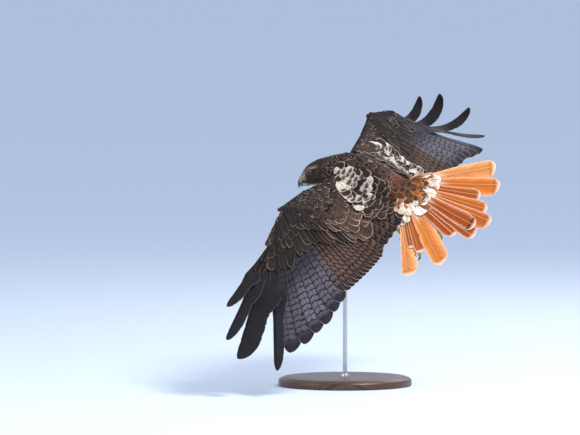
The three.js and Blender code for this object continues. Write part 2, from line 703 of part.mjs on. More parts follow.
// A claw goes on from its toe and curls further.
function claw(line) {
  const [, , before, end] = line;
  const along = end.clone().sub(before).normalize();
  const curl = along.clone().cross(line[1].clone().sub(line[0])).cross(along).negate().normalize();
  const points = [0, 0.04, 0.35, 0.7, 1].map((t) => end.clone()
    .addScaledVector(along, GAP + CLAW.length * t).addScaledVector(curl, CLAW.drop * t * t));
  return limb(points, CLAW.radii, 8);
}

function rod(cut) {
  const height = TRUNK_CENTRE[2] - STAND.thickness;
  const bar = new THREE.CylinderGeometry(STAND.rodRadius, STAND.rodRadius, height, 20);
  bar.rotateX(Math.PI / 2).translate(0, 0, STAND.thickness + GAP + height / 2);
  return join([solid(bar)], [cut]);
}

function stand() {
  const { radius, thickness, edge } = STAND;
  const profile = [[0, 0], [radius, 0], [radius, thickness - edge],
    [radius - edge, thickness], [0, thickness]];
  const disc = new THREE.LatheGeometry(profile.map(([r, z]) => new THREE.Vector2(r, z)), 48);
  return solid(disc.rotateX(Math.PI / 2));
}

const bird = new THREE.Group();
const trunkCut = trunk(CLEARANCE);
bird.add(named('torso', join([trunk(), ...scapulars(-1), ...scapulars(1)]), '#3b2f2a'));
bird.add(named('neck', neck(), '#332d2c'));
bird.add(named('head', head(), '#2f2c2e'));
bird.add(named('cere', cere(), '#8a8f7a', 0.5));
bird.add(named('bill_upper', billPiece(BILL), '#2b2f38', 0.35));
bird.add(named('bill_lower', billPiece(JAW), '#2b2f38', 0.35));
for (const [name, side] of [['eye_left', -1], ['eye_right', 1]]) {
  bird.add(named(name, inHead(ball(eyePlace(side), EYE.radius)), '#3a1d10', 0.1));
}
for (const wing of [LEFT_WING, RIGHT_WING]) {
  const name = wing.side < 0 ? 'wing_left' : 'wing_right';
  const fan = wingFan(wing);
  const handCut = handCore(wing, fan, CLEARANCE);
  const armCut = armCore(wing, fan, CLEARANCE);
  const hand = [handCore(wing, fan), ...handFeathers(wing, fan), ...alula(wing, fan)];
  const arm = [armCore(wing, fan), ...armFeathers(fan)];
  bird.add(named(`${name}_hand`, join(hand, [armCut]), '#3a3230'));
  const lastPrimary = vane(fan, PRIMARIES - 1, FLIGHT, 1, CLEARANCE);
  bird.add(named(`${name}_arm`, join(arm, [handCut, lastPrimary, trunkCut, neck(CLEARANCE),
    ...scapulars(wing.side, CLEARANCE)]), '#4a3d37'));
}
bird.add(named('tail', join([tailCore(), ...tailFeathers()], [trunkCut,
  ...scapulars(-1, CLEARANCE), ...scapulars(1, CLEARANCE)]), '#c8622a'));
for (const leg of LEGS) {
  bird.add(named(`thigh_${leg.name}`, join([thigh(leg)], [trunkCut]), '#b98d66'));
  bird.add(named(`foot_${leg.name}`, foot(leg), '#c9a53a'));
  toeLines(leg).forEach((line, k) => {
    bird.add(named(`claw_${leg.name}_${k + 1}`, claw(line), '#1d1b1c', 0.3));
  });
}
bird.applyMatrix4(BIRD);

const hawk = new THREE.Group();
hawk.add(bird);
hawk.add(named('stand_base', stand(), '#6b4a2f', 0.5));
hawk.add(named('stand_rod', rod(trunkCut.transform(BIRD.elements)), '#8d8f92', 0.35, 1));

export default hawk;
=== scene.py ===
"""Looks of a life-size red tailed hawk in a banked turn, held up by a plain display stand.

Lengths in the tables are millimetres in the bird's own frame, x to its right, y forward
and z to its back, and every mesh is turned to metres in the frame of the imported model.
"""

import math
from functools import partial

import bmesh
import bpy
import numpy as np
from bpy.props import FloatProperty, FloatVectorProperty, IntProperty, PointerProperty
from bpy.types import Operator, Panel, PropertyGroup
from mathutils import Matrix, Vector
from mathutils.bvhtree import BVHTree
from mathutils.kdtree import KDTree


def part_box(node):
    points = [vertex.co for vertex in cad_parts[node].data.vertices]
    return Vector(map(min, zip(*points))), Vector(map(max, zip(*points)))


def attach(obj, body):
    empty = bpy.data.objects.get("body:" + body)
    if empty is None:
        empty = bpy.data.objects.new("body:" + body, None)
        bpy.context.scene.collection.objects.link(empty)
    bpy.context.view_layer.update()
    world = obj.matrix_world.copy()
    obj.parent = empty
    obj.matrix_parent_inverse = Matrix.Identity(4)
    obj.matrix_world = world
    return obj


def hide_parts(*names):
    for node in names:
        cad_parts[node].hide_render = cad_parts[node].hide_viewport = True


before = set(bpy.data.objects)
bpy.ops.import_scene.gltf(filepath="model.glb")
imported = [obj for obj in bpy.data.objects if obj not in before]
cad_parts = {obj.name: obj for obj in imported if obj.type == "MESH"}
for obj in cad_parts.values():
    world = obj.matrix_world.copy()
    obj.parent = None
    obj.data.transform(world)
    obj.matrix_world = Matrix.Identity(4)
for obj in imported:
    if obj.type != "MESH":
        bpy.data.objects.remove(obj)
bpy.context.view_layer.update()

bl_info = {
    "name": "Red Tailed Hawk",
    "version": (1, 0, 0),
    "blender": (4, 5, 0),
    "location": "View3D > Sidebar > Hawk",
    "description": "Builds the plumage, head, feet and stand of a life-size hawk in flight",
    "category": "Add Mesh",
}

MM = 0.001
X, Y, Z = np.eye(3)

# Flight attitude in degrees, and the middle of the trunk above the floor.
HEADING = 23.4
PITCH = 19.5
BANK = 38
TRUNK_CENTRE = (50, -23, 464)

# Trunk from tail to neck: distance forward, half width, height of back, depth of belly.
TRUNK_PROFILE = (
    (-88, 27, 31, 12), (-66, 38, 38, 31), (-36, 48, 44, 46), (0, 54, 48, 53),
    (32, 53, 49, 53), (56, 46, 46, 45), (72, 40, 42, 35),
)

# Head: its middle, how far the bill points down, and its sections from nape to bill.
HEAD_CENTRE = (-61, 13, 482.8)
HEAD_DOWN = 3
HEAD_PROFILE = (
    (-16, 30, 29, 31), (-6, 29.5, 27.5, 31), (5, 27.5, 23.5, 31), (15, 24.5, 18.5, 31.5),
    (24, 20, 12, 32), (31, 15, 4.5, 32.3), (36.5, 10.5, -3.5, 32.5),
)
EYE = {"fore": 18.9, "up": -1, "out": 16.6, "radius": 8}
LID = {"radius": 6.2, "tube": 0.95, "out": 22, "turn": 22}
BROW = ((29, 3.2, 14.5, 1), (24, 5.6, 19, 2.4), (17, 7.6, 22, 2.8), (9, 8.6, 23, 1.2))
GAPE = ((37.5, -27.4, 8.6, 1.0), (31, -26.6, 12.2, 1.3), (26, -26.6, 14.4, 1.1), (21, -27.4, 15.2, 0.4))

# Bill: the ridge and the cutting edge as (forward, up) from face to tip, and half widths.
CERE = {
    "ridge": ((35.5, -1.5), (38.5, -6.2), (41.8, -10.3), (44.6, -16.4)),
    "edge": ((35.5, -26.2), (36.9, -26.5), (37.8, -27), (38.9, -27.8)),
    "half": (9.6, 9.3, 8.7, 7.7),
}
BILL = {
    "ridge": ((44.2, -15.4), (45.6, -18.8), (46.6, -22.5), (46.9, -26.5), (46.3, -30.2),
              (45.2, -33.8), (43.6, -36.9)),
    "edge": ((38.4, -27.7), (39.6, -28.3), (40.7, -29.2), (41.5, -30.5), (42.2, -32.3),
             (42.7, -34.8), (42.9, -37.2)),
    "half": (7.7, 7.1, 6.3, 5.1, 3.7, 2.1, 0.7),
}
JAW = {
    "ridge": ((35.5, -26.9), (36.9, -27.2), (38.8, -28.4), (40.4, -29.7)),
    "edge": ((35.5, -32), (36.9, -32.3), (39, -32.9), (40.9, -31.4)),
    "half": (8.6, 8.1, 6.3, 3),
}

# Arm bones, the shoulder, and the thickness of the flesh of arm and hand.
HUMERUS = 108
ULNA = 125
HAND = 92
SHOULDER = (40, 42, 18)
ARM_THICKNESS = (24, 20, 18, 16, 14)
HAND_THICKNESS = (12, 8.4)

# Section of a wing's flesh: places from the leading edge to the rear, and heights.
LENS = ((0, 0), (0.06, 0.3), (0.2, 0.46), (0.38, 0.5), (0.7, 0.34), (1, 0.13), (1, -0.15),
        (0.7, -0.26), (0.38, -0.4), (0.2, -0.38), (0.06, -0.26))

# Points round a section of trunk, neck and head.
SKIN_POINTS = 28

# Small feathers of each part: length, width, rise over the skin and spacing.
SMALL = {
    "trunk": (33, 17, 3.2, 8.2), "vent": (34, 17, 3, 8), "neck": (21, 10, 2.9, 4.9),
    "head": (9, 4.6, 1.6, 2.7), "brow": (7, 3.6, 1.2, 2.4), "arm": (25, 13.5, 2.4, 6.6),
    "hand": (19, 10, 1.9, 5), "thigh": (24, 11, 2.6, 5.6),
}

# Flight feathers, from the wing tip inward. The first ones are free fingers.
PRIMARIES = 10
SECONDARIES = 12
SECONDARY = {"root": (0.05, 0.97), "length": (222, 138)}
TERTIAL = {"count": 5, "root": (0.12, 0.72), "sweep": 90, "length": (134, 162)}
FINGERS = 4

# How far shafts bend up to their tips in degrees, and their curl, where a wing doesn't say.
BEND = {"primary": 7, "secondary": 5, "tertial": 3.5, "tail": 3.5, "thumb": 3.5}
CURL = 2

# How far a feather rises over the next shaft, from where on the shafts a fan's slope is read,
# and in how many steps a bent shaft is drawn.
SHINGLE = 2
SPREAD_START = 60
SHAFT_STEPS = 96

# Each wing: where the wrist is, how far from it the tips of the primaries are, how the
# feathers sweep back and droop, in degrees, and how far the fingers turn up, in degrees at
# their tips, the more near the tip the higher the curl, and their trailing webs.
WINGS = {
    "left": {
        "side": -1, "wrist": (222, 81, 54),
        "reach": (295, 359, 383, 386, 339, 319, 296, 281, 259, 244),
        "sweep": (3.2, 7.8, 12.9, 26.7, 31.8, 38.3, 44.5, 50.4, 57.3, 63),
        "droop": (6, 11.5, 16, 20.3, 21.6, 22.3, 22.5, 22.5, 22.4, 22.2),
        "inner_sweep": (68, 88), "inner_droop": (22, 18), "tertial_droop": (17, 6),
        "turn": (17, 17, 15, 12, 9), "curl": 2, "finger_trail": (28, 29, 60, 28),
        "hand_sweep": 2, "hand_droop": 16, "front": (20, 34, 24),
    },
    "right": {
        "side": 1, "wrist": (194, 102, -23.5),
        "reach": (257, 326, 335, 382, 336, 313, 288, 271, 258, 242),
        "sweep": (-0.3, 3.7, 19.6, 27.5, 39.7, 43.5, 47.7, 51.9, 57.3, 64.2),
        "droop": (29.6, 29.7, 28.6, 36.3, 36, 36.2, 36.2, 35.9, 35.3, 34.4),
        "inner_sweep": (69, 95), "inner_droop": (33, 28), "tertial_droop": (27, 7),
        "turn": (135, 135, 103, 16, 12), "curl": 4.4, "finger_trail": (28, 34, 28, 28),
        "hand_sweep": 10, "hand_droop": 31, "front": (29, 18, 11),
    },
}

# Tail: its turn against the trunk in degrees, and from the outermost right feather to
# the outermost left one the angle and length of each, a few of them still short.
TAIL = {"base": (5.6, -88, 24), "yaw": -5.6, "drop": 11.4, "twist": -22.3, "root_half": 13}
TAIL_ANGLES = (48, 36, 28, 19, 12.5, 5, -1.2, -9, -28.5, -40, -46, -50.5)
TAIL_LENGTHS = (214, 220, 178, 200, 219, 192, 204, 168, 209, 165, 150, 216)

# Shoulder feathers: how far out they grow at places along the back, how far out they start,
# and where the white patch is, with its half length and half width.
CAPE = {
    -1: {"along": (-82, -60, -30, 0, 40, 76), "out": (46, 74, 86, 82, 70, 50), "inner": 18,
         "patch": (57, 36), "half": (37, 58)},
    1: {"along": (-82, -60, -30, 0, 30, 64), "out": (90, 118, 136, 144, 140, 128), "inner": 64,
        "patch": (114, 12), "half": (40, 62)},
}
CAPE_FEATHER = {"length": 33, "width": 24, "depth": 4.2, "spacing": 10.5}

# Rump feathers: where they start and end, and how wide their field is there.
RUMP = {"along": (-118, -50), "wide": (50, 34)}
RUMP_FEATHER = {"length": 30, "width": 17, "depth": 3.6, "spacing": 8}

# Thumb feathers.
ALULA = {"count": 4, "length": 92, "shorter": 14, "root": (12, 4, 6), "tip": (-5, 5), "step": (3, 7)}

# Legs: knee, hock and foot, and each toe's turn and length.
LEGS = (
    {"name": "left", "side": -1, "knee": (-36, 5, -34), "hock": (-42, -84, -56), "foot": (-38, -140, -98)},
    {"name": "right", "side": 1, "knee": (36, 5, -34), "hock": (34, -90, -56), "foot": (22, -158, -96)},
)
TOES = ((-30, 36), (0, 44), (30, 36), (176, 26))
TOE_CURL = 0.4
CLAW = {"length": 15, "drop": 8, "radius": 2.9}

# Air that the plain solids leave between a toe and its claw, and at the wrist.
GAP = 0.32

# Webs of each kind of feather: half widths of the leading and the trailing side, how far they
# may reach towards the next shafts as shares of the space between, how long the rounded tip
# is and how blunt, the root's place along the quills, the length and the height over them.
KIND = ("lead", "trail", "reach", "tip", "point", "start", "length", "lift")
KINDS = {name: dict(zip(KIND, values)) for name, values in {
    "primary": (15, 30, (0.62, 1.7), 32, 0.55),
    "secondary": (17, 30, (0.66, 1.7), 20, 0.5),
    "tertial": (19, 26, (0.9, 1.7), 20, 0.5),
    "tail": (17, 27, (0.62, 1.5), 22, 0.5),
    "middle_tail": (21, 21, (1, 1), 22, 0.5, 0, 0, 2),
    "greater_hand": (11, 15, (0.6, 1.1), 22, 0.62, -2, 98, 4),
    "greater_arm": (14, 18, (0.6, 1.1), 14, 0.5, -8, 84, 4),
    "greater_inner": (21, 23, (1.5, 1.7), 19, 0.5, -4, 96, 4),
    "median_hand": (10, 12, (0.75, 1.1), 13, 0.5, -6, 58, 6.4),
    "median_arm": (14, 15, (0.8, 1.2), 13, 0.5, -10, 52, 7.4),
    "median_inner": (20, 20, (1.5, 1.7), 17, 0.5, -12, 62, 7.4),
    "lesser_hand": (8, 9, (0.9, 1.2), 9, 0.5, -10, 34, 7.6),
    "lesser_arm": (12, 12, (1, 1.2), 11, 0.5, -16, 31, 9),
    "under_hand": (12, 14, (0.6, 1.1), 16, 0.5, 0, 84, -3.4),
    "under_arm": (13, 16, (0.6, 1.1), 14, 0.5, -4, 68, -3.4),
    "under_median": (11, 13, (0.7, 1.1), 12, 0.5, -8, 38, -6),
    "tail_covert": (12, 13, (1, 1.3), 14, 0.5, 12, 80, 3),
    "short_tail_covert": (11, 11, (1.4, 1.7), 12, 0.5, 6, 64, 4.2),
    "under_tail_covert": (15, 17, (1, 1.5), 20, 0.55, 4, 104, -4.6),
    "thumb": (7, 12, (0.6, 1), 14, 0.6),
}.items()}

# A free finger is also notched along its length, and its trailing side rounds off later.
FINGER = {"lead": 11, "reach": (0.5, 1.2), "tip": 30, "point": 0.5, "notch": 0.36, "late": 2.4}

# Rows of coverts on a wing, each from one place to another along the quills: the hand's
# quills come first, then the arm's, then those between the elbow and the body.
ARM_START, ARM_END = PRIMARIES, PRIMARIES + SECONDARIES
WING_END = ARM_END + TERTIAL["count"] - 1
COVERT_ROWS = (
    ("greater_hand", 0.5, ARM_START - 1), ("median_hand", 0.5, ARM_START - 1), ("lesser_hand", 1, ARM_START),
    ("greater_arm", ARM_START - 0.5, ARM_END), ("greater_inner", ARM_END - 0.2, WING_END + 0.1),
    ("median_arm", ARM_START, ARM_END), ("median_inner", ARM_END, WING_END + 0.1),
    ("lesser_arm", ARM_START - 0.5, WING_END), ("under_hand", 0.5, ARM_START),
    ("under_arm", ARM_START + 0.5, WING_END), ("under_median", ARM_START, WING_END),
)

# Columns of a large feather from the shaft out, as shares of each web.
LEAD_COLUMNS = (1, 0.78, 0.5, 0.2)
TRAIL_COLUMNS = (0.16, 0.38, 0.62, 0.83, 1)

# Rows along a small feather and columns across it, as shares of its length and half width,
# and there how wide, how raised and how thick it is.
ROWS = np.array([0, 0.18, 0.38, 0.58, 0.76, 0.9, 1.0])
ROW_WIDTH = np.array([0.25, 0.62, 0.9, 1.0, 0.94, 0.66, 0.12])
ROW_RISE = np.array([-0.6, 0.1, 0.55, 0.85, 1.0, 1.08, 1.1])
COLUMNS = np.array([-1, -0.55, 0, 0.55, 1])
COLUMN_HALF = np.array([0.02, 0.16, 0.26, 0.16, 0.02])

# Radius of the scaled shin from hock to sole and of a toe from its root to the claw, each at
# these shares of the length.
SHIN = (0, 0.45, 0.85, 1), (5.4, 4.4, 5.8, 3.6)
TOE = (0, 0.5, 1), (4.4, 4.0, 3.1)

# Nostril: how far forward and up its middle is, and its rings from inside out, as the distance
# from the middle of the head and the radius.
NOSTRIL = {"place": (40.6, -16), "rings": ((7.5, 1.7), (8.6, 1.7), (8.95, 1.5))}

# Little square of the bake map that each small feather has on the skin's unwrap: its side, how
# wide the feather's upper sheet is there, and how far beside it the lower sheet lies.
BAKE_SIDE, BAKE_SHEET, BAKE_SHIFT = 0.003, 0.0014, 0.0016

# Each finish of a vane: its bars' and its shaft's colour, the shaft's brightness, the space
# between bars in millimetres and from which height of their wave they show, the width of the
# pale edge and of the shaft, of a dark streak along the shaft, and how strong the shaft is.
VANES = {
    # Primaries: smooth violet grey vanes, thin black bars about 14 mm apart, dark horn shafts.
    "primary": ("bar", "primary", 1.6, 14, 0.62, 1.3, 1, 0, 0.8),
    # Secondaries: duller brown vanes, broader black bars and rusty horn shafts.
    "secondary": ("bar", "rusty", 1, 14.5, 0.35, 1.5, 1, 0, 0.8),
    # Coverts: soft dark vanes whose pale edge, about 2 mm wide, draws each scale of the wing.
    "covert": ("mantle", "bar", 1, 9, 0.2, 2.2, 0.7, 0, 0.8),
    # Tail: glowing rufous vanes with thin cream shafts. The wave is endless, so that a black bar
    # shows only where the feather's own colours have one, before the tip.
    "tail_quill": ("bar", "shaft", 1, 900000, -1, 1.6, 0.5, 0, 0.8),
    # Body feathers: loose matt vanes with a dark line along the shaft and a worn pale edge.
    "contour": ("bar", "mantle", 1, 30, 0, 1.6, 0.4, 2.6, 0.3),
}

# Rounded edge of the turned base: how far in and how far up it goes, in metres. Collar of the
# rod: how much wider than the rod, and how high over the base.
BASE_ROUND = 0.006, 0.0085
COLLAR = ((0, -0.004), (0.004, -0.001), (0.004, 0.004), (0.003, 0.006), (0.0005, 0.0065), (0, 0.007))

# Camera at the photo's angle, from far off: degrees down, metres away, and the width of the
# picture at the bird. Lamps: place, size, and power as a share of the key or the fill light.
CAMERA = {"tilt": 4, "away": 35, "wide": 1.305, "target": (-0.12375, 0, 0.3789), "sensor": 36}
LAMPS = {"key": ((1.7, -1.7, 3.0), 1.0, "key", 1), "fill": ((-2.6, -1.6, 1.4), 2.0, "fill", 1),
         "back": ((1.2, 2.4, 2.2), 1.4, "fill", 1.2)}


def linear(code):
    """Turns an sRGB hex colour to linear red, green and blue."""
    shares = [int(code[k:k + 2], 16) / 255 for k in (1, 3, 5)]
    return tuple(c / 12.92 if c <= 0.04045 else ((c + 0.055) / 1.055) ** 2.4 for c in shares)


def colour(name, text, code):
    return FloatVectorProperty(name=name, description=text, subtype="COLOR", size=3,
                               min=0, max=1, default=linear(code))


def size(name, text, default, low, high):
    return FloatProperty(name=name, description=text, subtype="DISTANCE", unit="LENGTH",
                         default=default, min=low, max=high, precision=5)


class HawkPlumageColours(PropertyGroup):
    mantle: colour("Mantle", "Blackish brown of back, wing coverts and nape", "#17110F")
    brown: colour("Brown", "Warm brown of the inner coverts and the longest shoulder feathers", "#443023")
    fringe: colour("Fringe", "Buff to rufous edge of the dark feathers", "#8A6750")
    pale: colour("Pale fringe", "Pinkish white edge of the coverts", "#D9BFAB")
    mottle: colour("Mottle", "White of the shoulder patches", "#D8C7B4")
    head: colour("Head", "Blue grey brown of the head", "#1B1C22")
    brow: colour("Brow", "Buff streak over the eye", "#9A8262")
    rump: colour("Rump", "Rufous brown of the rump", "#5A3420")
    cream: colour("Cream", "Cream of the upper tail coverts and the belly", "#EADCCB")
    primary: colour("Primary", "Blackish violet of the wing tip", "#131015")
    panel: colour("Panel", "Grey between the bars of the inner primaries", "#524D54")
    secondary: colour("Secondary", "Warm grey brown of the inner flight feathers", "#4A392F")
    bar: colour("Bar", "Black bars across the flight feathers", "#0A0809")
    rusty: colour("Rusty shaft", "Rusty horn of the shafts of the secondaries", "#6E432C")
    under: colour("Underwing", "Pale underside of the flight feathers", "#D5CDC0")
    lining: colour("Wing lining", "Buff of the small feathers under the wing", "#D3B58F")
    tail: colour("Tail", "Bright orange of the tail feathers", "#CF7426")
    # Deepest tail colour: partly the feathers' own rufous, partly painted shade for the tail feathers that
    # lie in shade.
    rust: colour("Tail rust", "Deep rust of the tail feathers", "#8A3A0C")
    under_tail: colour("Under tail", "Pale pinkish underside of the tail", "#E2C3A0")
    shaft: colour("Shaft", "Pale horn of the tail shafts", "#DDAF77")
    thigh: colour("Thigh", "Buff of the leg feathers", "#C9A67C")


class HawkPlumageSizes(PropertyGroup):
    voxel: size("Skin voxel", "Grain at which the skin is closed over its sections", 0.0022, 0.0015, 0.006)
    thickness: size("Vane thickness", "Thickness of a large feather beside its shaft", 0.0006, 0.0002, 0.002)
    spacing: FloatProperty(name="Spacing", description="Scales the distance between body feathers",
                           default=1.0, min=0.6, max=3.0)
    seed: IntProperty(name="Seed", description="Start of every random draw", default=7, min=0)


class HawkBareParts(PropertyGroup):
    bill: colour("Bill", "Slate horn of the bill", "#1D2027")
    bill_base: colour("Bill base", "Paler blue grey horn next to the cere", "#454C57")
    cere: colour("Cere", "Dull olive yellow skin over the nostrils", "#847E58")
    iris: colour("Iris", "Dark reddish brown iris", "#4A2610")
    foot: colour("Foot", "Yellow scaled skin of shin and toes", "#C9A23C")
    claw: colour("Claw", "Black horn of the claws", "#1C1A1B")


class HawkStandSettings(PropertyGroup):
    wood: colour("Wood", "Heartwood of the base", "#5A3A25")
    wood_dark: colour("Dark grain", "Darker streaks of the wood", "#2F1C12")
    radius: size("Radius", "Radius of the base", 0.150, 0.12, 0.16)
    thickness: size("Thickness", "Thickness of the base", 0.020, 0.015, 0.022)
    rod: size("Rod radius", "Radius of the upright rod", 0.005, 0.004, 0.006)


class HawkStudioSettings(PropertyGroup):
    floor: colour("Floor", "Pale matt studio floor", "#CBD2DC")
    sky: colour("Surround", "Even pale light round the object", "#D3E2FA")
    key: FloatProperty(name="Key light", description="Power of the main lamp", default=140, unit="POWER")
    fill: FloatProperty(name="Fill light", description="Power of the lamp on the dark side", default=26,
                        unit="POWER")


def settings(group):
    return getattr(bpy.context.scene, "hawk_" + group)


def draws(shift=0):
    """Random draws of one step, which the seed of the panel starts."""
    return np.random.default_rng(settings("sizes").seed + shift)


def rgb(group, name):
    return np.array(getattr(settings(group), name)[:])


def pigment(group, name, bright=1):
    """A colour of the panel for a node's socket."""
    return (*rgb(group, name) * bright, 1)


def plumage():
    return {name: rgb("colours", name) for name in HawkPlumageColours.__annotations__}


def unit(vectors):
    return vectors / np.maximum(np.linalg.norm(vectors, axis=-1, keepdims=True), 1e-9)


def square_to(vectors, axes):
    """What is left of vectors square to their axes."""
    return vectors - axes * np.sum(vectors * axes, -1, keepdims=True)


def lerp(a, b, t):
    return a + (b - a) * t


def smoothstep(low, high, values):
    t = np.clip((values - low) / (high - low), 0, 1)
    return t * t * (3 - 2 * t)


def read(values, t):
    """Value of a short list at a share of its length."""
    return np.interp(np.clip(t, 0, 1) * (len(values) - 1), range(len(values)), values)


def turned(vector, axis, degrees):
    return np.array(Matrix.Rotation(math.radians(degrees), 3, Vector(axis)) @ Vector(vector))


def smooth_rows(rows, finer):
    """A table of sections read at finer places along a smooth curve through them."""
    rows = np.array(rows, float)
    ends = np.vstack([2 * rows[0] - rows[1], rows, 2 * rows[-1] - rows[-2]])
    shares = np.arange(finer) / finer
    out = []
    for a, b, c, d in zip(ends, ends[1:], ends[2:], ends[3:]):
        for t in shares:
            out.append(b + 0.5 * t * (c - a + t * (2 * a - 5 * b + 4 * c - d + t * (3 * (b - c) + d - a))))
    return np.array(out + [rows[-1]])


def bird_frame():
    """Rotation and middle of the bird, in millimetres over the floor."""
    pitch, heading = math.radians(PITCH), math.radians(HEADING)
    level = math.cos(pitch)
    fore = np.array([-level * math.cos(heading), level * math.sin(heading), math.sin(pitch)])
    right = turned(unit(np.cross(fore, Z)), fore, -BANK)
    return np.column_stack([right, fore, np.cross(right, fore)]), np.array(TRUNK_CENTRE, float)


BIRD_TURN, BIRD_PLACE = bird_frame()


def head_frame():
    """The head is held level while the body banks: its frame as the bird sees it."""
    down = math.radians(HEAD_DOWN)
    fore = np.array([-math.cos(down), 0, -math.sin(down)])
    turn = np.column_stack([Y, fore, np.cross(Y, fore)])
    return BIRD_TURN.T @ turn, BIRD_TURN.T @ (np.array(HEAD_CENTRE) - BIRD_PLACE)


HEAD_TURN, HEAD_PLACE = head_frame()


def to_world(points):
    return (np.asarray(points, float) @ BIRD_TURN.T + BIRD_PLACE) * MM


def from_head(points):
    return np.asarray(points, float) @ HEAD_TURN.T + HEAD_PLACE


def to_head(points):
    return (points - HEAD_PLACE) @ HEAD_TURN


def ray(side, sweep, droop):
    """Direction from a sweep back and a droop, in degrees."""
    sweep, droop = math.radians(sweep), math.radians(droop)
    return np.array([side * math.cos(droop) * math.cos(sweep), -math.cos(droop) * math.sin(sweep),
                     -math.sin(droop)])


class Fan:
    """The surface through neighbouring shafts: q counts shafts and s runs along them.

    A shaft is (root, tip, turn, curl): it turns towards the back, by an angle in degrees at
    its tip, the later along its length the higher the curl.
    """

    def __init__(self, shafts, side):
        self.side = side
        self.root = np.array([shaft[0] for shaft in shafts], float)
        tip = np.array([shaft[1] for shaft in shafts], float)
        turn = np.radians([shaft[2] for shaft in shafts])[:, None]
        curl = np.array([shaft[3] for shaft in shafts], float)[:, None]
        angle = turn * ((np.arange(SHAFT_STEPS) + 0.5) / SHAFT_STEPS) ** curl
        steps = np.stack([np.cos(angle), np.sin(angle)], -1) / SHAFT_STEPS
        self.line = np.concatenate([np.zeros((len(shafts), 1, 2)), np.cumsum(steps, 1)], 1)
        end = self.line[:, -1]
        self.length = np.linalg.norm(tip - self.root, axis=1) / np.linalg.norm(end, axis=1)
        along = unit(tip - self.root)
        up = unit(Z - along * along[:, 2:])
        lean = np.arctan2(end[:, 1], end[:, 0])[:, None]
        self.straight = along * np.cos(lean) - up * np.sin(lean)
        self.rise = along * np.sin(lean) + up * np.cos(lean)

    def on(self, k, s):
        place = s / self.length[k] * SHAFT_STEPS
        j = np.clip(np.floor(place).astype(int), 0, SHAFT_STEPS - 1)
        flat = lerp(self.line[k, j], self.line[k, j + 1], (place - j)[..., None]) * self.length[k][..., None]
        return self.root[k] + self.straight[k] * flat[..., :1] + self.rise[k] * flat[..., 1:]

    def at(self, q, s):
        q, s = np.broadcast_arrays(np.asarray(q, float), np.asarray(s, float))
        k = np.clip(np.floor(q).astype(int), 0, len(self.length) - 2)
        return lerp(self.on(k, s), self.on(k + 1, s), (q - k)[..., None])

    def along(self, q, s):
        return unit(self.at(q, s + 4) - self.at(q, s - 4))

    def normal(self, q, s):
        s = np.maximum(s, SPREAD_START)
        inward = self.at(q + 0.5, s) - self.at(q - 0.5, s)
        return unit(np.cross(inward, self.along(q, s)) * self.side)

    def across(self, q, s):
        """What lies square to the shaft on the way to the next one."""
        return square_to(self.at(q + 0.5, s) - self.at(q - 0.5, s), self.along(q, s))

    def free(self, q, s):
        """A finger that is free of the fan lies square to the line of flight."""
        along = self.along(q, s)
        aft = unit(along * along[..., 1:2] - Y)
        return aft, unit(np.cross(aft, along) * self.side)


def wing_joints(wing):
    side = wing["side"]
    mirror = np.array([side, 1, 1])
    shoulder, wrist = np.array(SHOULDER) * mirror, np.array(wing["wrist"]) * mirror
    reach = np.linalg.norm(wrist - shoulder)
    along = (wrist - shoulder) / reach
    near = (HUMERUS ** 2 - ULNA ** 2 + reach ** 2) / (2 * reach)
    aft = np.array([0, -1, -0.75])
    aft = unit(aft - along * (aft @ along))
    elbow = shoulder + along * near + aft * math.sqrt(HUMERUS ** 2 - near ** 2)
    return shoulder, elbow, wrist


def wing_fan(wing):
    side = wing["side"]
    shoulder, elbow, wrist = wing_joints(wing)
    hand = ray(side, wing["hand_sweep"], wing["hand_droop"])
    shafts = []
    for k in range(PRIMARIES):
        root = wrist + hand * lerp(HAND - 6, 6, k / (PRIMARIES - 1))
        tip = wrist + ray(side, wing["sweep"][k], wing["droop"][k]) * wing["reach"][k]
        turn = wing["turn"][k] if k < len(wing["turn"]) else BEND["primary"]
        shafts.append((root, tip, turn, wing["curl"] if k < FINGERS else CURL))
    for k in range(SECONDARIES):
        t = k / (SECONDARIES - 1)
        root = lerp(wrist, elbow, lerp(*SECONDARY["root"], t))
        along = ray(side, lerp(*wing["inner_sweep"], t), lerp(*wing["inner_droop"], t))
        shafts.append((root, root + along * lerp(*SECONDARY["length"], t), BEND["secondary"], CURL))
    for k in range(TERTIAL["count"]):
        t = k / (TERTIAL["count"] - 1)
        root = lerp(elbow, shoulder, lerp(*TERTIAL["root"], t))
        along = ray(side, TERTIAL["sweep"], lerp(*wing["tertial_droop"], t))
        shafts.append((root, root + along * lerp(*TERTIAL["length"], t), BEND["tertial"], CURL))
    return Fan(shafts, side)


def tail_turn():
    turn = (Matrix.Rotation(math.radians(TAIL["yaw"]), 3, "Z")
            @ Matrix.Rotation(math.radians(TAIL["drop"]), 3, "X")
            @ Matrix.Rotation(math.radians(TAIL["twist"]), 3, "Y"))
    return np.array(turn)


def from_tail(points):
    return np.asarray(points, float) @ tail_turn().T + np.array(TAIL["base"])


def tail_fan():
    last = len(TAIL_ANGLES) - 1
    shafts = []
    for k, (degrees, length) in enumerate(zip(TAIL_ANGLES, TAIL_LENGTHS)):
        angle = math.radians(degrees)
        root = from_tail((lerp(TAIL["root_half"], -TAIL["root_half"], k / last), 0, 0))
        tip = from_tail((math.sin(angle) * length, -math.cos(angle) * length, 0))
        shafts.append((root, tip, BEND["tail"], CURL))
    return Fan(shafts, 1)


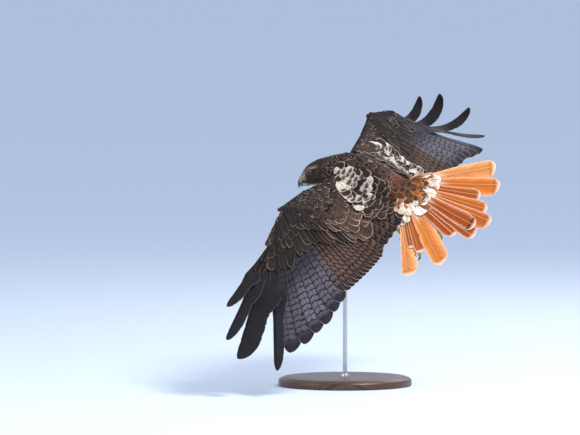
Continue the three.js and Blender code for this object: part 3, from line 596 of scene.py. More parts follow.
def thumb_fan(wing, fan):
    side = wing["side"]
    wrist = wing_joints(wing)[2]
    along = ray(side, wing["hand_sweep"], wing["hand_droop"])
    up = fan.normal(4, 0)
    front = unit(np.cross(up, along) * side)
    out, ahead, high = ALULA["root"]
    shafts = []
    for k in range(ALULA["count"]):
        root = wrist + along * out + front * (ahead - ALULA["step"][0] * k) + up * high
        tip = (wrist + along * (ALULA["length"] - ALULA["shorter"] * k)
               + front * (ALULA["tip"][0] - ALULA["step"][1] * k) + up * ALULA["tip"][1])
        shafts.append((root, tip, BEND["thumb"], CURL))
    return Fan(shafts, side)


def quads(grid):
    """The four corners of every cell of a grid of numbers or places."""
    cells = np.stack([grid[:-1, :-1], grid[:-1, 1:], grid[1:, 1:], grid[1:, :-1]], 2)
    return cells.reshape(-1, *cells.shape[2:])


def vane_template(rows, cols):
    """Quads of a closed vane: an upper and a lower sheet that share their rim."""
    own = np.arange(rows * cols).reshape(rows, cols)
    lower = own + rows * cols
    rim = np.ones((rows, cols), bool)
    rim[1:-1, 1:-1] = False
    lower[rim] = own[rim]
    corners = np.vstack([quads(own), quads(own)[:, ::-1] + rows * cols])
    used, point_of = np.unique(np.concatenate([own.ravel(), lower.ravel()]), return_inverse=True)
    return corners, used, point_of


class Coat:
    """Collects many vanes and joins them in one mesh with what their finish reads."""

    def __init__(self, name):
        self.name = name
        self.points, self.faces, self.corners = [], [], []
        self.layers = {"Vane": [], "OFBake": [], "Ground": [], "Fringe": [], "Edge": []}
        self.count = 0

    def add(self, top, low, span, edge, ground, fringe, bake):
        """top, low: vanes x rows x cols x 3; the rest: vanes x 2 sheets x rows x cols x k."""
        vanes, rows, cols = top.shape[:3]
        r, c = rows // 2, cols // 2
        facing = np.cross(top[:, r, c + 1] - top[:, r, c - 1], top[:, r + 1, c] - top[:, r - 1, c])
        if np.sum(facing * (top[:, r, c] - low[:, r, c])) < 0:
            top, low = top[:, :, ::-1], low[:, :, ::-1]
            span, edge, ground, fringe, bake = (a[:, :, :, ::-1] for a in (span, edge, ground, fringe, bake))
        corners, used, point_of = vane_template(rows, cols)
        both = np.stack([top, low], 1).reshape(vanes, -1, 3)
        self.points.append(both[:, used].reshape(-1, 3))
        base = self.count + len(used) * np.arange(vanes)[:, None, None]
        self.faces.append((point_of[corners] + base).reshape(-1, 4))
        self.count += vanes * len(used)
        for key, values in zip(self.layers, (span, bake, ground, fringe, edge)):
            flat = values.reshape(vanes, 2 * rows * cols, -1)[:, corners.ravel()]
            self.layers[key].append(flat.reshape(-1, flat.shape[-1]).astype(np.float32))

    def build(self, material, slot, *nodes):
        points = to_world(np.concatenate(self.points)).astype(np.float32)
        faces = np.concatenate(self.faces).astype(np.int32)
        mesh = bpy.data.meshes.new(self.name)
        mesh.vertices.add(len(points))
        mesh.vertices.foreach_set("co", points.ravel())
        mesh.loops.add(faces.size)
        mesh.loops.foreach_set("vertex_index", faces.ravel())
        mesh.polygons.add(len(faces))
        mesh.polygons.foreach_set("loop_start", np.arange(0, faces.size, 4, dtype=np.int32))
        mesh.update(calc_edges=True)
        for key, parts in self.layers.items():
            values = np.concatenate(parts).ravel()
            if key in ("Vane", "OFBake"):
                mesh.uv_layers.new(name=key).data.foreach_set("uv", values)
            elif key == "Edge":
                mesh.attributes.new(key, "FLOAT", "CORNER").data.foreach_set("value", values)
            else:
                paint(mesh, key, values)
        mesh.validate()
        settle(show(self.name, mesh, material, sharp=55), slot, *nodes)


def paint(mesh, key, values):
    """Adds a colour layer with one colour for each corner of each face."""
    layer = mesh.color_attributes.new(name=key, type="FLOAT_COLOR", domain="CORNER")
    layer.data.foreach_set("color", values)


def show(name, mesh, material, sharp=None):
    """Adds a smooth piece, whose edges are sharp where they bend more than some degrees."""
    mesh.name = name
    mesh.materials.append(material)
    mesh.shade_smooth()
    if sharp:
        mesh.set_sharp_from_angle(angle=math.radians(sharp))
    piece = bpy.data.objects.new(name, mesh)
    bpy.context.scene.collection.objects.link(piece)
    return piece


def settle(piece, slot, *nodes):
    """Fixes a finished piece to the model's one body, in place of its plain solids."""
    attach(piece, "root")
    if nodes:
        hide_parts(*nodes)


def layer4(colour_, strength):
    """Colour with a strength as its fourth number."""
    colour_, strength = np.broadcast_arrays(colour_, np.asarray(strength)[..., None])
    return np.concatenate([colour_, strength[..., :1]], -1)


def feather_rows(start, length, tip, step):
    """Places along a shaft, closer together at the rounded tip."""
    body = np.linspace(start, length - tip, max(3, round((length - tip - start) / step) + 1))
    turn = np.linspace(0, math.pi / 2, 8)[1:]
    return np.concatenate([body, length - tip + tip * np.sin(turn) * 0.998])


def fan_feather(coat, fan, q, kind, dress, rng, strip, over=1, step=6):
    """Adds one large feather of a fan, with its raised shaft, camber and small splits."""
    thickness = settings("sizes").thickness / MM
    start, lift, notch = (kind.get(key, 0) for key in ("start", "lift", "notch"))
    length = kind.get("length") or float(read(fan.length, q / (len(fan.length) - 1)))
    s = feather_rows(start, length, kind["tip"], step)
    t = (s - start) / (length - start)
    body = lerp(0.1, 1, smoothstep(0.02, 0.16, t)) * (1 - notch * smoothstep(0.42, 0.62, s / length))
    freed = smoothstep(0.3, 0.5, s / length) * (notch > 0)
    shaft = lerp(1.2, 0.35, t) * np.where(length > 120, 1, 0.55)
    columns = []
    for toward, web, limit, stops in ((-1, kind["lead"], kind["reach"][0], LEAD_COLUMNS),
                                      (1, kind["trail"], kind["reach"][1], TRAIL_COLUMNS)):
        spacing = np.linalg.norm(fan.across(q + toward / 2, s), axis=-1)
        rounding = kind["tip"] * (kind.get("late", 1) if toward > 0 else 1)
        tip_shape = np.maximum(1 - np.clip((s - length) / rounding + 1, 0, 1) ** 2, 0) ** kind["point"]
        full = body * tip_shape
        ragged = 1 - 0.05 * rng.random(len(s)) ** 2
        for split in rng.uniform(0.35, 0.95, 2):
            ragged -= rng.uniform(0.03, 0.15) * np.exp(-((t - split) * (length - start) / 4) ** 2)
        held = np.minimum(web * full, limit * spacing * tip_shape)
        width = np.maximum(lerp(held, web * full, freed) * ragged, shaft * 1.3)
        for stop in stops:
            columns.append((toward * (shaft + (width - shaft) * stop), toward * stop + 0 * s, width, spacing))
        if toward < 0:
            columns += [(shaft * stop * 0.9, 0 * s, width, spacing) for stop in (-1, 0, 1)]
    offset, share, width, spacing = (np.stack(values, 1) for values in zip(*columns))
    rows = s[:, None] + 0 * offset
    place = q + offset / spacing
    place = lerp(place, np.clip(place, q - kind["reach"][0], q + kind["reach"][1]), freed[:, None])
    height = lift + SHINGLE * over * (q - place) - 0.09 * share ** 2 * width
    height += 0.25 * np.sin(rng.uniform(0, 6) + rows / 19) * share ** 2
    aft, up = fan.free(q + 0 * offset, rows)
    free = freed[:, None, None]
    normal = unit(lerp(fan.normal(place, rows), up, free))
    point = lerp(fan.at(place, rows), fan.at(q + 0 * offset, rows) + aft * offset[..., None], free)
    ridge = np.zeros(offset.shape[1])
    ridge[4:7] = (0.35, 1, 0.35)
    taper = lerp(1, 0.25, t)[:, None]
    half = thickness / 2 * lerp(1, 0.3, np.abs(share))
    top = point + normal * (height + half + ridge * 0.55 * taper)[..., None]
    low = point + normal * (height - half - ridge * 0.9 * taper)[..., None]
    edge = np.minimum((1 - np.abs(share)) * width, (length - rows) * 0.9) * MM
    span = np.stack([offset, rows - length + rng.uniform(-2, 2)], -1) * MM
    ground, fringe = dress(np.broadcast_to(t[:, None], share.shape), share, q, rng)
    both = lambda sheet: np.stack([sheet, sheet])[None]
    coat.add(top[None], low[None], both(span), both(edge)[..., None], ground[None], fringe[None],
             strip_patch(strip, share.shape)[None])


def strip_patch(strip, shape):
    """A feather's own strip of the bake map, its upper sheet beside its lower one."""
    number, count = strip
    rows, cols = shape
    along = np.linspace(0.01, 0.99, rows)[:, None] + np.zeros(cols)
    across = np.zeros((rows, 1)) + np.linspace(0.06, 0.44, cols)
    return np.stack([np.stack([(number + across + shift) / count, along], -1) for shift in (0, 0.5)])


def sheets(top, low, t, over, under):
    """Layer of a vane: colour and strength of its upper sheet, then of its lower one."""
    return np.stack([layer4(np.broadcast_to(shade, t.shape + (3,)), strength + 0 * t)
                     for shade, strength in ((top, over), (low, under))])


def rounded(t, low, high):
    return smoothstep(low, high, t)[..., None]


def dress_flight(t, share, q, rng):
    """Wing quills: black at the wing tip, then grey and brown panels between black bars."""
    c = plumage()
    outer, warm, inner = smoothstep(4.6, 2.6, q), smoothstep(8.5, 11.5, q), smoothstep(15, 19, q)
    ground = lerp(lerp(c["panel"], c["secondary"], warm), lerp(c["brown"], c["secondary"], 0.6), inner)
    ground = lerp(ground, lerp(c["primary"], c["panel"], 0.05) * 0.65, outer) * rng.uniform(0.8, 1.25)
    top = lerp(ground, c["primary"], 0.55 * smoothstep(0.25, 0.95, share)[..., None])
    # The leading web darkens to black at its edge: on the inner quills this dark line is partly painted shade
    # between overlapping quills; on the fingers the whole leading web is dark.
    top = lerp(top, c["primary"], lerp(0.8 * smoothstep(-0.72, -0.98, share), smoothstep(0.1, -0.1, share),
                                       outer * 0.85)[..., None])
    top = lerp(top, c["primary"], rounded(t, 0.86, 0.94) * 0.92)
    top = lerp(top, c["primary"], rounded(t, 0.66, 0.42) * 0.8)
    under = lerp(c["under"], c["panel"], 0.1 + 0.5 * outer)
    low = lerp(under, c["primary"], rounded(t, 0.84 - 0.34 * outer, 0.92 - 0.2 * outer) * 0.9)
    bars = lerp(0.95, 0.2, outer) * smoothstep(0.1, 0.3, t) * smoothstep(0.97, 0.9, t)
    # Rim: blackish on the inner quills, with pale tips of their own, and pale grey on the outer primaries,
    # strongest at the tip, where it is partly a painted sheen.
    edge = lerp(lerp(c["primary"], lerp(c["panel"], c["pale"], 0.45), outer), c["pale"],
                rounded(t, 0.9, 0.98) * (1 - outer) * 0.7)
    return (sheets(top, low, t, bars, bars * 0.7),
            sheets(edge, edge, t, 0.3 + 0.6 * smoothstep(0.8, 0.95, t), 0.3))


def dress_covert(t, share, q, rng):
    """Wing coverts: black brown near the wrist, warm, barred and pale edged near the body."""
    c = plumage()
    warm = smoothstep(14, 20, q + rng.uniform(-3, 3))
    ground = lerp(c["mantle"], c["brown"], rng.uniform(0, 0.25) + 0.65 * warm)
    ground = ground * rng.uniform(0.7, 1.25) * lerp(0.75, 1.4, warm)
    top = lerp(ground, c["secondary"] * 1.3, 0.35 * warm * rounded(np.abs(share), 0.3, 0.9))
    top = lerp(top, c["mantle"], 0.75 * rounded(t, 0.9, 0.72) * rounded(t, 0.3, 0.6) * (1 - warm))
    edge = lerp(c["fringe"] * 0.8, c["pale"], np.clip(rng.uniform(0, 0.6) + 0.5 * warm, 0, 1))
    layer = sheets(top, lerp(ground, c["under"], 0.5), t, (0.15 + 0.6 * warm) * rng.uniform(0.4, 1), 0.2)
    strength = min(rng.uniform(0, 0.5) + 0.55 * warm, 1) * smoothstep(0.6, 0.9, t) + 0.05
    return layer, sheets(edge, edge, t, strength, 0.4)


def dress_lining(t, share, q, rng):
    """Feathers under the wing: cream to buff with a dark bar towards their tips."""
    c = plumage()
    ground = lerp(c["cream"], c["lining"], rng.uniform(0.1, 0.8))
    dark = lerp(c["secondary"], c["rump"], 0.4)
    mark = smoothstep(0.62, 0.74, t) * smoothstep(0.93, 0.83, t) * rng.uniform(0.2, 0.9)
    both = lerp(ground, dark, mark[..., None])
    return sheets(both, both, t, 0.3, 0.3), sheets(c["cream"], c["cream"], t, 0.5, 0.5)


def dress_tail(t, share, q, rng):
    """Tail feathers: from bright orange to deep rufous, the deepest partly painted shade, pale tips, pinkish
    cream below.
    """
    c = plumage()
    # How deep each tail feather's colour is, from orange to the deepest rufous: partly its own tone, partly
    # painted shade on the feathers that lie in shade.
    tone = float(np.clip(read((0, 0.25, 0.85, 0.4, 0.55, 1, 1, 0.95, 0.1, 0.8, 0.95, 0),
                              q / (len(TAIL_ANGLES) - 1)) + rng.uniform(-0.08, 0.08), 0, 1))
    ground = lerp(lerp(c["tail"], c["shaft"], max(0.32 - 2 * tone, 0)), c["rust"], tone)
    top = lerp(ground, c["rust"] * 0.85, 0.4 * rounded(np.abs(share), 0.75, 0.1))
    top = lerp(top, lerp(c["tail"], c["cream"], 0.45), 0.5 * rounded(np.abs(share), 0.6, 1))
    top = lerp(top, c["cream"], 0.85 * rounded(t + 0.15 * np.abs(share), 0.5, 0.25))
    top = lerp(top, lerp(c["cream"], c["tail"], 0.25), 0.75 * rounded(t, 0.95, 0.99))
    low = lerp(c["under_tail"], c["tail"], 0.12 + 0.1 * rounded(t, 0.4, 0.9))
    middle = abs(q - (len(TAIL_ANGLES) - 1) // 2) < 0.1
    strength = 0.85 if middle else rng.uniform(0, 0.35)
    band = smoothstep(0.922, 0.932, t) * smoothstep(0.952, 0.944, t) * strength
    edge = lerp(c["cream"], c["tail"], 0.3)
    return (sheets(top, low, t, band, band * 0.5),
            sheets(edge, edge, t, 0.6 + 0.3 * smoothstep(0.8, 0.95, t), 0.5))


def dress_tail_covert(t, share, q, rng):
    """Upper tail coverts: cream, washed with orange, and a few still rufous with brown marks."""
    c = plumage()
    ground = lerp(c["cream"], c["tail"], rng.uniform(0, 0.45))
    if rng.random() < 0.12:
        ground = lerp(c["rump"], c["tail"], rng.uniform(0.1, 0.7))
    dark = lerp(c["rump"], c["mantle"], 0.3)
    mark = smoothstep(0.6, 0.7, t) * smoothstep(0.92, 0.8, t) * rng.uniform(-0.6, 0.5)
    both = lerp(ground, dark, np.maximum(mark, 0)[..., None])
    layer = sheets(both, lerp(both, ground, 0.6), t, 0.05, 0.1)
    return layer, sheets(c["cream"], c["cream"], t, 0.6, 0.5)


def oval(centre, across, up, half, above, below, count):
    turn = 2 * math.pi * np.arange(count) / count
    height = np.where(np.sin(turn) > 0, above, below)
    return centre + np.outer(np.cos(turn) * half, across) + np.outer(np.sin(turn) * height, up)


def lens(front, bone, rear, up, thickness):
    """Section of the arm from its leading edge over the bone to the rear."""
    return np.array([(lerp(front, bone, t / 0.7) if t < 0.7 else lerp(bone, rear, (t - 0.7) / 0.3))
                     + up * high * thickness for t, high in LENS])


class Skin:
    """Sections of the flesh, with the lie and size of the feathers that grow there."""

    def __init__(self):
        self.lofts = []
        self.places, self.values, self.parts = [], [], []

    def add(self, rings, part, lie, length, width, depth, spacing, grade=None):
        """lie: one direction, or a function that gives one for each point of a ring.

        grade scales the feathers at each point of a ring.
        """
        self.lofts.append(rings)
        for ring in rings:
            ways = lie(ring) if callable(lie) else np.broadcast_to(lie, ring.shape)
            for point, way, scale in zip(ring, ways, grade or [1] * len(ring)):
                self.places.append(point)
                self.values.append((*way, length * scale, width * scale, depth * scale ** 0.5,
                                    spacing * scale))
                self.parts.append(part)


def head_ring(row, depth):
    fore, half, above, below = row
    middle, height = (above - below) / 2, (above + below) / 2 - depth
    return from_head(oval(np.array([0, fore, middle]), X, Z, half - depth, height, height, SKIN_POINTS))


def neck_rings(depth):
    fore, half, above, below = TRUNK_PROFILE[-1]
    start = oval(Y * (fore - 6), X, Z, half - depth, above - depth, below - depth, SKIN_POINTS)
    end = head_ring(HEAD_PROFILE[1], depth * 0.5)
    sums = [np.linalg.norm(start - np.roll(end, -shift, 0), axis=1).sum() for shift in range(SKIN_POINTS)]
    end = np.roll(end, -int(np.argmin(sums)), 0)
    rings = []
    for t in np.linspace(0, 1, 8):
        ring = lerp(start, end, t)
        rings.append(ring + unit(ring - ring.mean(0)) * 1.6 * math.sin(math.pi * t))
    return rings


def flesh():
    """The whole bird without its feathers, in sections that overlap.

    Each part has the depth of its feathers taken off.
    """
    skin = Skin()
    rings = [oval(Y * fore, X, Z, half - 4, above - 4, below - 4, SKIN_POINTS)
             for fore, half, above, below in smooth_rows(TRUNK_PROFILE, 3)]
    skin.add(rings, "trunk", lambda ring: unit(ring * (0.007, 0, 0.0024) - Y), *SMALL["trunk"])
    nape = unit(-12 * Y - from_head(0 * X))
    skin.add(neck_rings(3.6), "neck", nape, *SMALL["neck"])
    beak, behind = from_head((0, 42, -18)), from_head((0, -60, -6))
    back = lambda ring: unit(unit(ring - beak) + 0.9 * unit(behind - ring))
    rings = [head_ring(row, 1.7) for row in smooth_rows(HEAD_PROFILE, 2)]
    skin.add(rings, "head", back, *SMALL["head"])
    for side in (-1, 1):
        rings = [from_head(oval(np.array([side * (out - 1), fore, up]), X, Z, wide * 1.3, wide, wide, 10))
                 for fore, up, out, wide in smooth_rows(BROW, 3)]
        skin.add(rings, "head", back, *SMALL["brow"])
    for wing in WINGS.values():
        add_wing_flesh(skin, wing)
    add_tail_flesh(skin)
    for leg in LEGS:
        knee, hock = np.array(leg["knee"]) + (0, -8, 12), np.array(leg["hock"], float)
        points = lerp(knee, hock, np.array([0, 0.2, 0.4, 0.62, 0.86, 1])[:, None])
        lie = unit(unit(hock - knee) + 0.15 * Z)
        skin.add(tube(points, (22, 22, 19, 15, 9, 5.6), 16), "thigh", lie, *SMALL["thigh"])
    return skin


def add_wing_flesh(skin, wing):
    side = wing["side"]
    shoulder, elbow, wrist = wing_joints(wing)
    fan = wing_fan(wing)
    up = fan.normal(PRIMARIES + SECONDARIES / 2, 0.0)
    rings = []
    for t in np.linspace(0, 1, 13):
        bone = lerp(shoulder, elbow, t * 2) if t < 0.5 else lerp(elbow, wrist, t * 2 - 1)
        front = lerp(shoulder, wrist, t) + Y * (read(wing["front"], t) - 2)
        rings.append(lens(front, bone, bone - Y * lerp(24, 13, t), up, read(ARM_THICKNESS, t)))
    lie = ray(side, lerp(*wing["inner_sweep"], 0.25), lerp(*wing["inner_droop"], 0.25))
    skin.add(rings, "arm", lie, *SMALL["arm"], [lerp(0.55, 1.15, t) for t, _ in LENS])
    along = ray(side, wing["hand_sweep"], wing["hand_droop"])
    up = fan.normal(4, 0.0)
    aft = unit(np.cross(up, along) * -side)
    rings = []
    for t in np.linspace(-0.08, 1, 8):
        centre = wrist + along * lerp(GAP, HAND, t)
        rings.append(lens(centre - aft * lerp(12, 7, t), centre, centre + aft * lerp(18, 7, t), up,
                          lerp(*HAND_THICKNESS, t)))
    skin.add(rings, "hand", unit(along + aft * 0.55), *SMALL["hand"])


def add_tail_flesh(skin):
    fore, half, above, below = TRUNK_PROFILE[0]
    rings = [oval(np.array([0, fore + 6, 0]), X, Z, half - 3, above - 3, below - 2, 24)]
    for back, wide, high, low in ((8, 23, 6, 22), (24, 22, 6, 18), (45, 19, 3, 9), (62, 12, 1.5, 3)):
        rings.append(from_tail(oval(np.array([0, -back, 0]), X, Z, wide, high, low, 24)))
    skin.add(rings, "vent", unit(from_tail((0, -60, 0)) - from_tail((0, 0, 0))), *SMALL["vent"])


def tube(points, radii, count):
    rings = []
    for k, point in enumerate(points):
        along = unit(points[min(k + 1, len(points) - 1)] - points[max(k - 1, 0)])
        across = unit(np.cross(along, Y if abs(along[0]) > 0.8 else X))
        rings.append(oval(point, across, np.cross(along, across), radii[k], radii[k], radii[k], count))
    return rings


def loft_mesh(lofts, place=to_world, closed=False):
    """One mesh of lofts, each with flat ends or closed to a ring."""
    points, faces = [], []
    for rings in lofts:
        base, count, last = len(points), len(rings[0]), len(rings) - 1
        points.extend(place(np.concatenate(rings)).tolist())
        for k in range(last + closed):
            a, b = base + k * count, base + (k + 1) % len(rings) * count
            faces.extend((a + j, a + (j + 1) % count, b + (j + 1) % count, b + j) for j in range(count))
        if not closed:
            faces.append(tuple(range(base + count - 1, base - 1, -1)))
            faces.append(tuple(range(base + last * count, base + len(rings) * count)))
    mesh = bpy.data.meshes.new("loft")
    mesh.from_pydata(points, [], faces)
    shape = bmesh.new()
    shape.from_mesh(mesh)
    bmesh.ops.recalc_face_normals(shape, faces=shape.faces)
    shape.to_mesh(mesh)
    shape.free()
    return mesh


def grown(lofts, voxel, rounds):
    """Overlapping lofts closed to one mesh and smoothed a few times."""
    carrier = bpy.data.objects.new("sections", loft_mesh(lofts))
    bpy.context.scene.collection.objects.link(carrier)
    for kind, values in (("REMESH", {"mode": "VOXEL", "voxel_size": voxel, "adaptivity": 0.0}),
                         ("SMOOTH", {"factor": 0.5, "iterations": rounds})):
        modifier = carrier.modifiers.new(kind, kind)
        for key, value in values.items():
            setattr(modifier, key, value)
    graph = bpy.context.evaluated_depsgraph_get()
    mesh = bpy.data.meshes.new_from_object(carrier.evaluated_get(graph))
    bpy.data.objects.remove(carrier)
    return mesh


# What the operators share: the skin's faces and the vane finishes made so far.
STATE = {}


def in_bird(points):
    return (np.asarray(points, float) / MM - BIRD_PLACE) @ BIRD_TURN


def tree_of(places):
    """Finds the nearest of these places."""
    tree = KDTree(len(places))
    for k, place in enumerate(places):
        tree.insert(place, k)
    tree.balance()
    return tree


def grow_skin():
    """Closes the flesh to one skin and reads the lie of the feathers over it."""
    skin = flesh()
    mesh = grown(skin.lofts, settings("sizes").voxel, 6)
    facts = []
    for key, wide in (("center", 3), ("normal", 3), ("area", 1)):
        values = np.zeros(len(mesh.polygons) * wide)
        mesh.polygons.foreach_get(key, values)
        facts.append(values.reshape(-1, wide))
    centres, normals, areas = in_bird(facts[0]), facts[1] @ BIRD_TURN, facts[2][:, 0] / MM ** 2
    tree = tree_of(skin.places)
    near = np.array([[k for _, k, _ in tree.find_n(centre, 10)] for centre in centres])
    blended = np.array(skin.values)[near].mean(1)
    lie = unit(square_to(blended[:, :3], normals))
    spots = in_bird([v.co for v in mesh.vertices])
    faces = [tuple(p.vertices) for p in mesh.polygons]
    corners = spots[np.array([face[:3] + face[-1:] for face in faces])]
    STATE.update(centres=centres, normals=normals, areas=areas, lie=lie, sizes=blended[:, 3:], seen=4,
                 part=np.array(skin.parts)[near[:, 0]], corners=corners,
                 sheet=BVHTree.FromPolygons(spots, faces))
    return mesh


def unwrap_skin(piece):
    """Unwraps the skin's own shape for the bake and keeps each face's place on it."""
    piece.data.uv_layers.new(name="OFBake")
    bpy.context.view_layer.objects.active = piece
    piece.select_set(True)
    bpy.ops.object.mode_set(mode="EDIT")
    bpy.ops.mesh.select_all(action="SELECT")
    bpy.ops.uv.smart_project(angle_limit=math.radians(60), island_margin=0.002)
    bpy.ops.object.mode_set(mode="OBJECT")
    piece.select_set(False)
    uv = np.zeros(len(piece.data.loops) * 2)
    piece.data.uv_layers["OFBake"].data.foreach_get("uv", uv)
    STATE["patch"] = uv.reshape(-1, 2)[[p.loop_start for p in piece.data.polygons]]


def markings(points, normals, part, rng):
    """Ground colour, fringe colour, fringe strength and streak of plumage at these places."""
    c = plumage()
    count = len(points)
    ground = np.broadcast_to(c["mantle"], (count, 3)).copy()
    fringe = np.broadcast_to(c["fringe"], (count, 3)).copy()
    edge = np.full(count, 0.7)
    x, y, _ = points.T
    draw = rng.random(count)

    def wash(colour_, weight):
        ground[:] = lerp(ground, colour_, np.clip(weight, 0, 1)[:, None])

    body = np.isin(part, ("trunk", "vent", "neck"))
    below = smoothstep(0.1, -0.45, normals[:, 2]) * body
    above = body * (1 - below)
    wash(c["brown"] * 0.6, (part == "trunk") * above * (draw < 0.35))
    fringe = lerp(fringe, c["pale"], (above * rng.random(count) ** 2 * 0.8)[:, None])
    rump = smoothstep(-34, -60, y) * above
    wash(c["rump"], rump * (0.45 + 0.5 * (draw > 0.4)))
    wash(c["tail"], smoothstep(-74, -92, y) * above * (draw < 0.35) * 0.7)
    patch = (smoothstep(12, 24, np.abs(x)) * smoothstep(52, 42, np.abs(x)) * smoothstep(-44, -26, y)
             * smoothstep(64, 50, y) * (part == "trunk") * above)
    wash(c["mottle"] * 0.6, patch * (draw < 0.04))
    wash(c["cream"], below)
    band = below * smoothstep(26, 6, y) * smoothstep(-52, -30, y)
    wash(lerp(c["mantle"], c["rump"], 0.5), band * (draw < 0.55) * 0.9)
    wash(lerp(c["rump"], c["mantle"], 0.4), below * (part == "neck") * (draw < 0.45) * 0.75)
    nape = (part == "neck") * above
    wash(c["fringe"], nape * (normals[:, 2] < 0.75) * (draw < 0.12) * 0.7)
    wash(c["head"], nape * (draw > 0.5) * 0.8)
    edge = lerp(edge, 0.35, below)
    fringe = lerp(fringe, c["cream"], below[:, None])
    wing = np.isin(part, ("arm", "hand"))
    bright = wing * (rng.random(count) < 0.4)
    fringe = lerp(fringe, c["pale"], (bright * rng.uniform(0.2, 0.9, count))[:, None])
    edge = np.where(wing, lerp(0.3, 0.95, bright) * lerp(1, 0.5, smoothstep(60, 190, np.abs(x))), edge)
    head_markings(points, part, draw, ground, edge, c)
    wing_markings(points, normals, part, draw, wash, c)
    wash(c["thigh"], (part == "thigh") * 1.0)
    ground *= (0.86 + 0.28 * rng.random(count))[:, None]
    streak = np.where(below > 0.3, 0.1, 0.55) * rng.random(count)
    return ground, fringe, edge * lerp(0.5, 1, rng.random(count)), streak


def head_markings(points, part, draw, ground, edge, c):
    place = to_head(points)
    out, fore, up = np.abs(place[:, 0]), place[:, 1], place[:, 2]
    on = part == "head"

    def wash(colour_, weight):
        ground[:] = lerp(ground, colour_, np.clip(weight * on, 0, 1)[:, None])

    wash(c["head"], np.ones(len(points)))
    wash(c["mantle"], smoothstep(10, 18, up) * 0.5)
    line = 7.5 - (fore - 18) * 0.24
    streak = np.exp(-((up - line) / 2.6) ** 2) * smoothstep(-4, 8, fore) * smoothstep(31, 26, fore)
    wash(c["brow"], streak * 0.85 * (out > 9))
    lores = smoothstep(25, 30, fore) * smoothstep(-22, -12, up) * smoothstep(8, 0, up)
    wash(lerp(c["brow"], c["under"], 0.6), lores * 0.7)
    throat = smoothstep(-23, -29, up)
    wash(c["cream"], throat * (draw < 0.75) * 0.9)
    stripe = np.exp(-((up + 24) / 4) ** 2) * smoothstep(26, 12, fore)
    wash(c["mantle"] * 0.8, stripe * 0.8)
    wash(c["rump"], (np.abs(up + 12) < 9) * (fore < 12) * (draw < 0.15) * 0.4)
    edge[on] *= 0.45


def wing_markings(points, normals, part, draw, wash, c):
    wing = np.isin(part, ("arm", "hand"))
    under = smoothstep(-0.25, -0.6, normals[:, 2]) * wing
    wash(lerp(c["mantle"], c["secondary"], 0.3), wing * (1 - under) * (draw < 0.5))
    wash(lerp(c["cream"], c["lining"], 0.55), under)
    wash(c["rump"], under * (draw < 0.3) * 0.7)
    for chosen in WINGS.values():
        shoulder, _, wrist = wing_joints(chosen)
        along = unit(wrist - shoulder)
        t = (points - shoulder) @ along / np.linalg.norm(wrist - shoulder)
        front = shoulder + along * np.outer(np.clip(t, 0, 1), np.linalg.norm(wrist - shoulder))[:, :1]
        ahead = (points - front)[:, 1] - read(chosen["front"], np.clip(t, 0, 1)) + 16
        bar = under * (np.sign(points[:, 0]) == chosen["side"]) * smoothstep(-8, 0, ahead)
        wash(lerp(c["mantle"], c["rump"], 0.25), bar * smoothstep(0.1, 0.3, t) * smoothstep(1.05, 0.9, t))


def scatter(ground, chosen, rng):
    """Roots of small feathers, evenly spread over the chosen faces of the ground."""
    faces = np.flatnonzero(chosen)
    spacing = ground["sizes"][faces, 3] * settings("sizes").spacing
    weights = ground["areas"][faces] / spacing ** 2
    tries = int(weights.sum() * 7)
    picked = rng.choice(faces, tries, p=weights / weights.sum())
    a, b = rng.random(tries)[:, None], rng.random(tries)[:, None]
    quad = ground["corners"][picked]
    points = lerp(lerp(quad[:, 0], quad[:, 1], a), lerp(quad[:, 3], quad[:, 2], a), b)
    apart = ground["sizes"][picked, 3] * settings("sizes").spacing * 0.86
    cell = float(apart.max())
    taken, kept = {}, []
    keys = np.floor(points / cell).astype(int)
    steps = [(i, j, k) for i in (-1, 0, 1) for j in (-1, 0, 1) for k in (-1, 0, 1)]
    for n, (key, point, gap) in enumerate(zip(keys.tolist(), points.tolist(), apart.tolist())):
        near = (other for i, j, k in steps for other in taken.get((key[0] + i, key[1] + j, key[2] + k), ()))
        if all(math.dist(other, point) >= gap for other in near):
            taken.setdefault(tuple(key), []).append(point)
            kept.append(n)
    return points[kept], picked[kept]


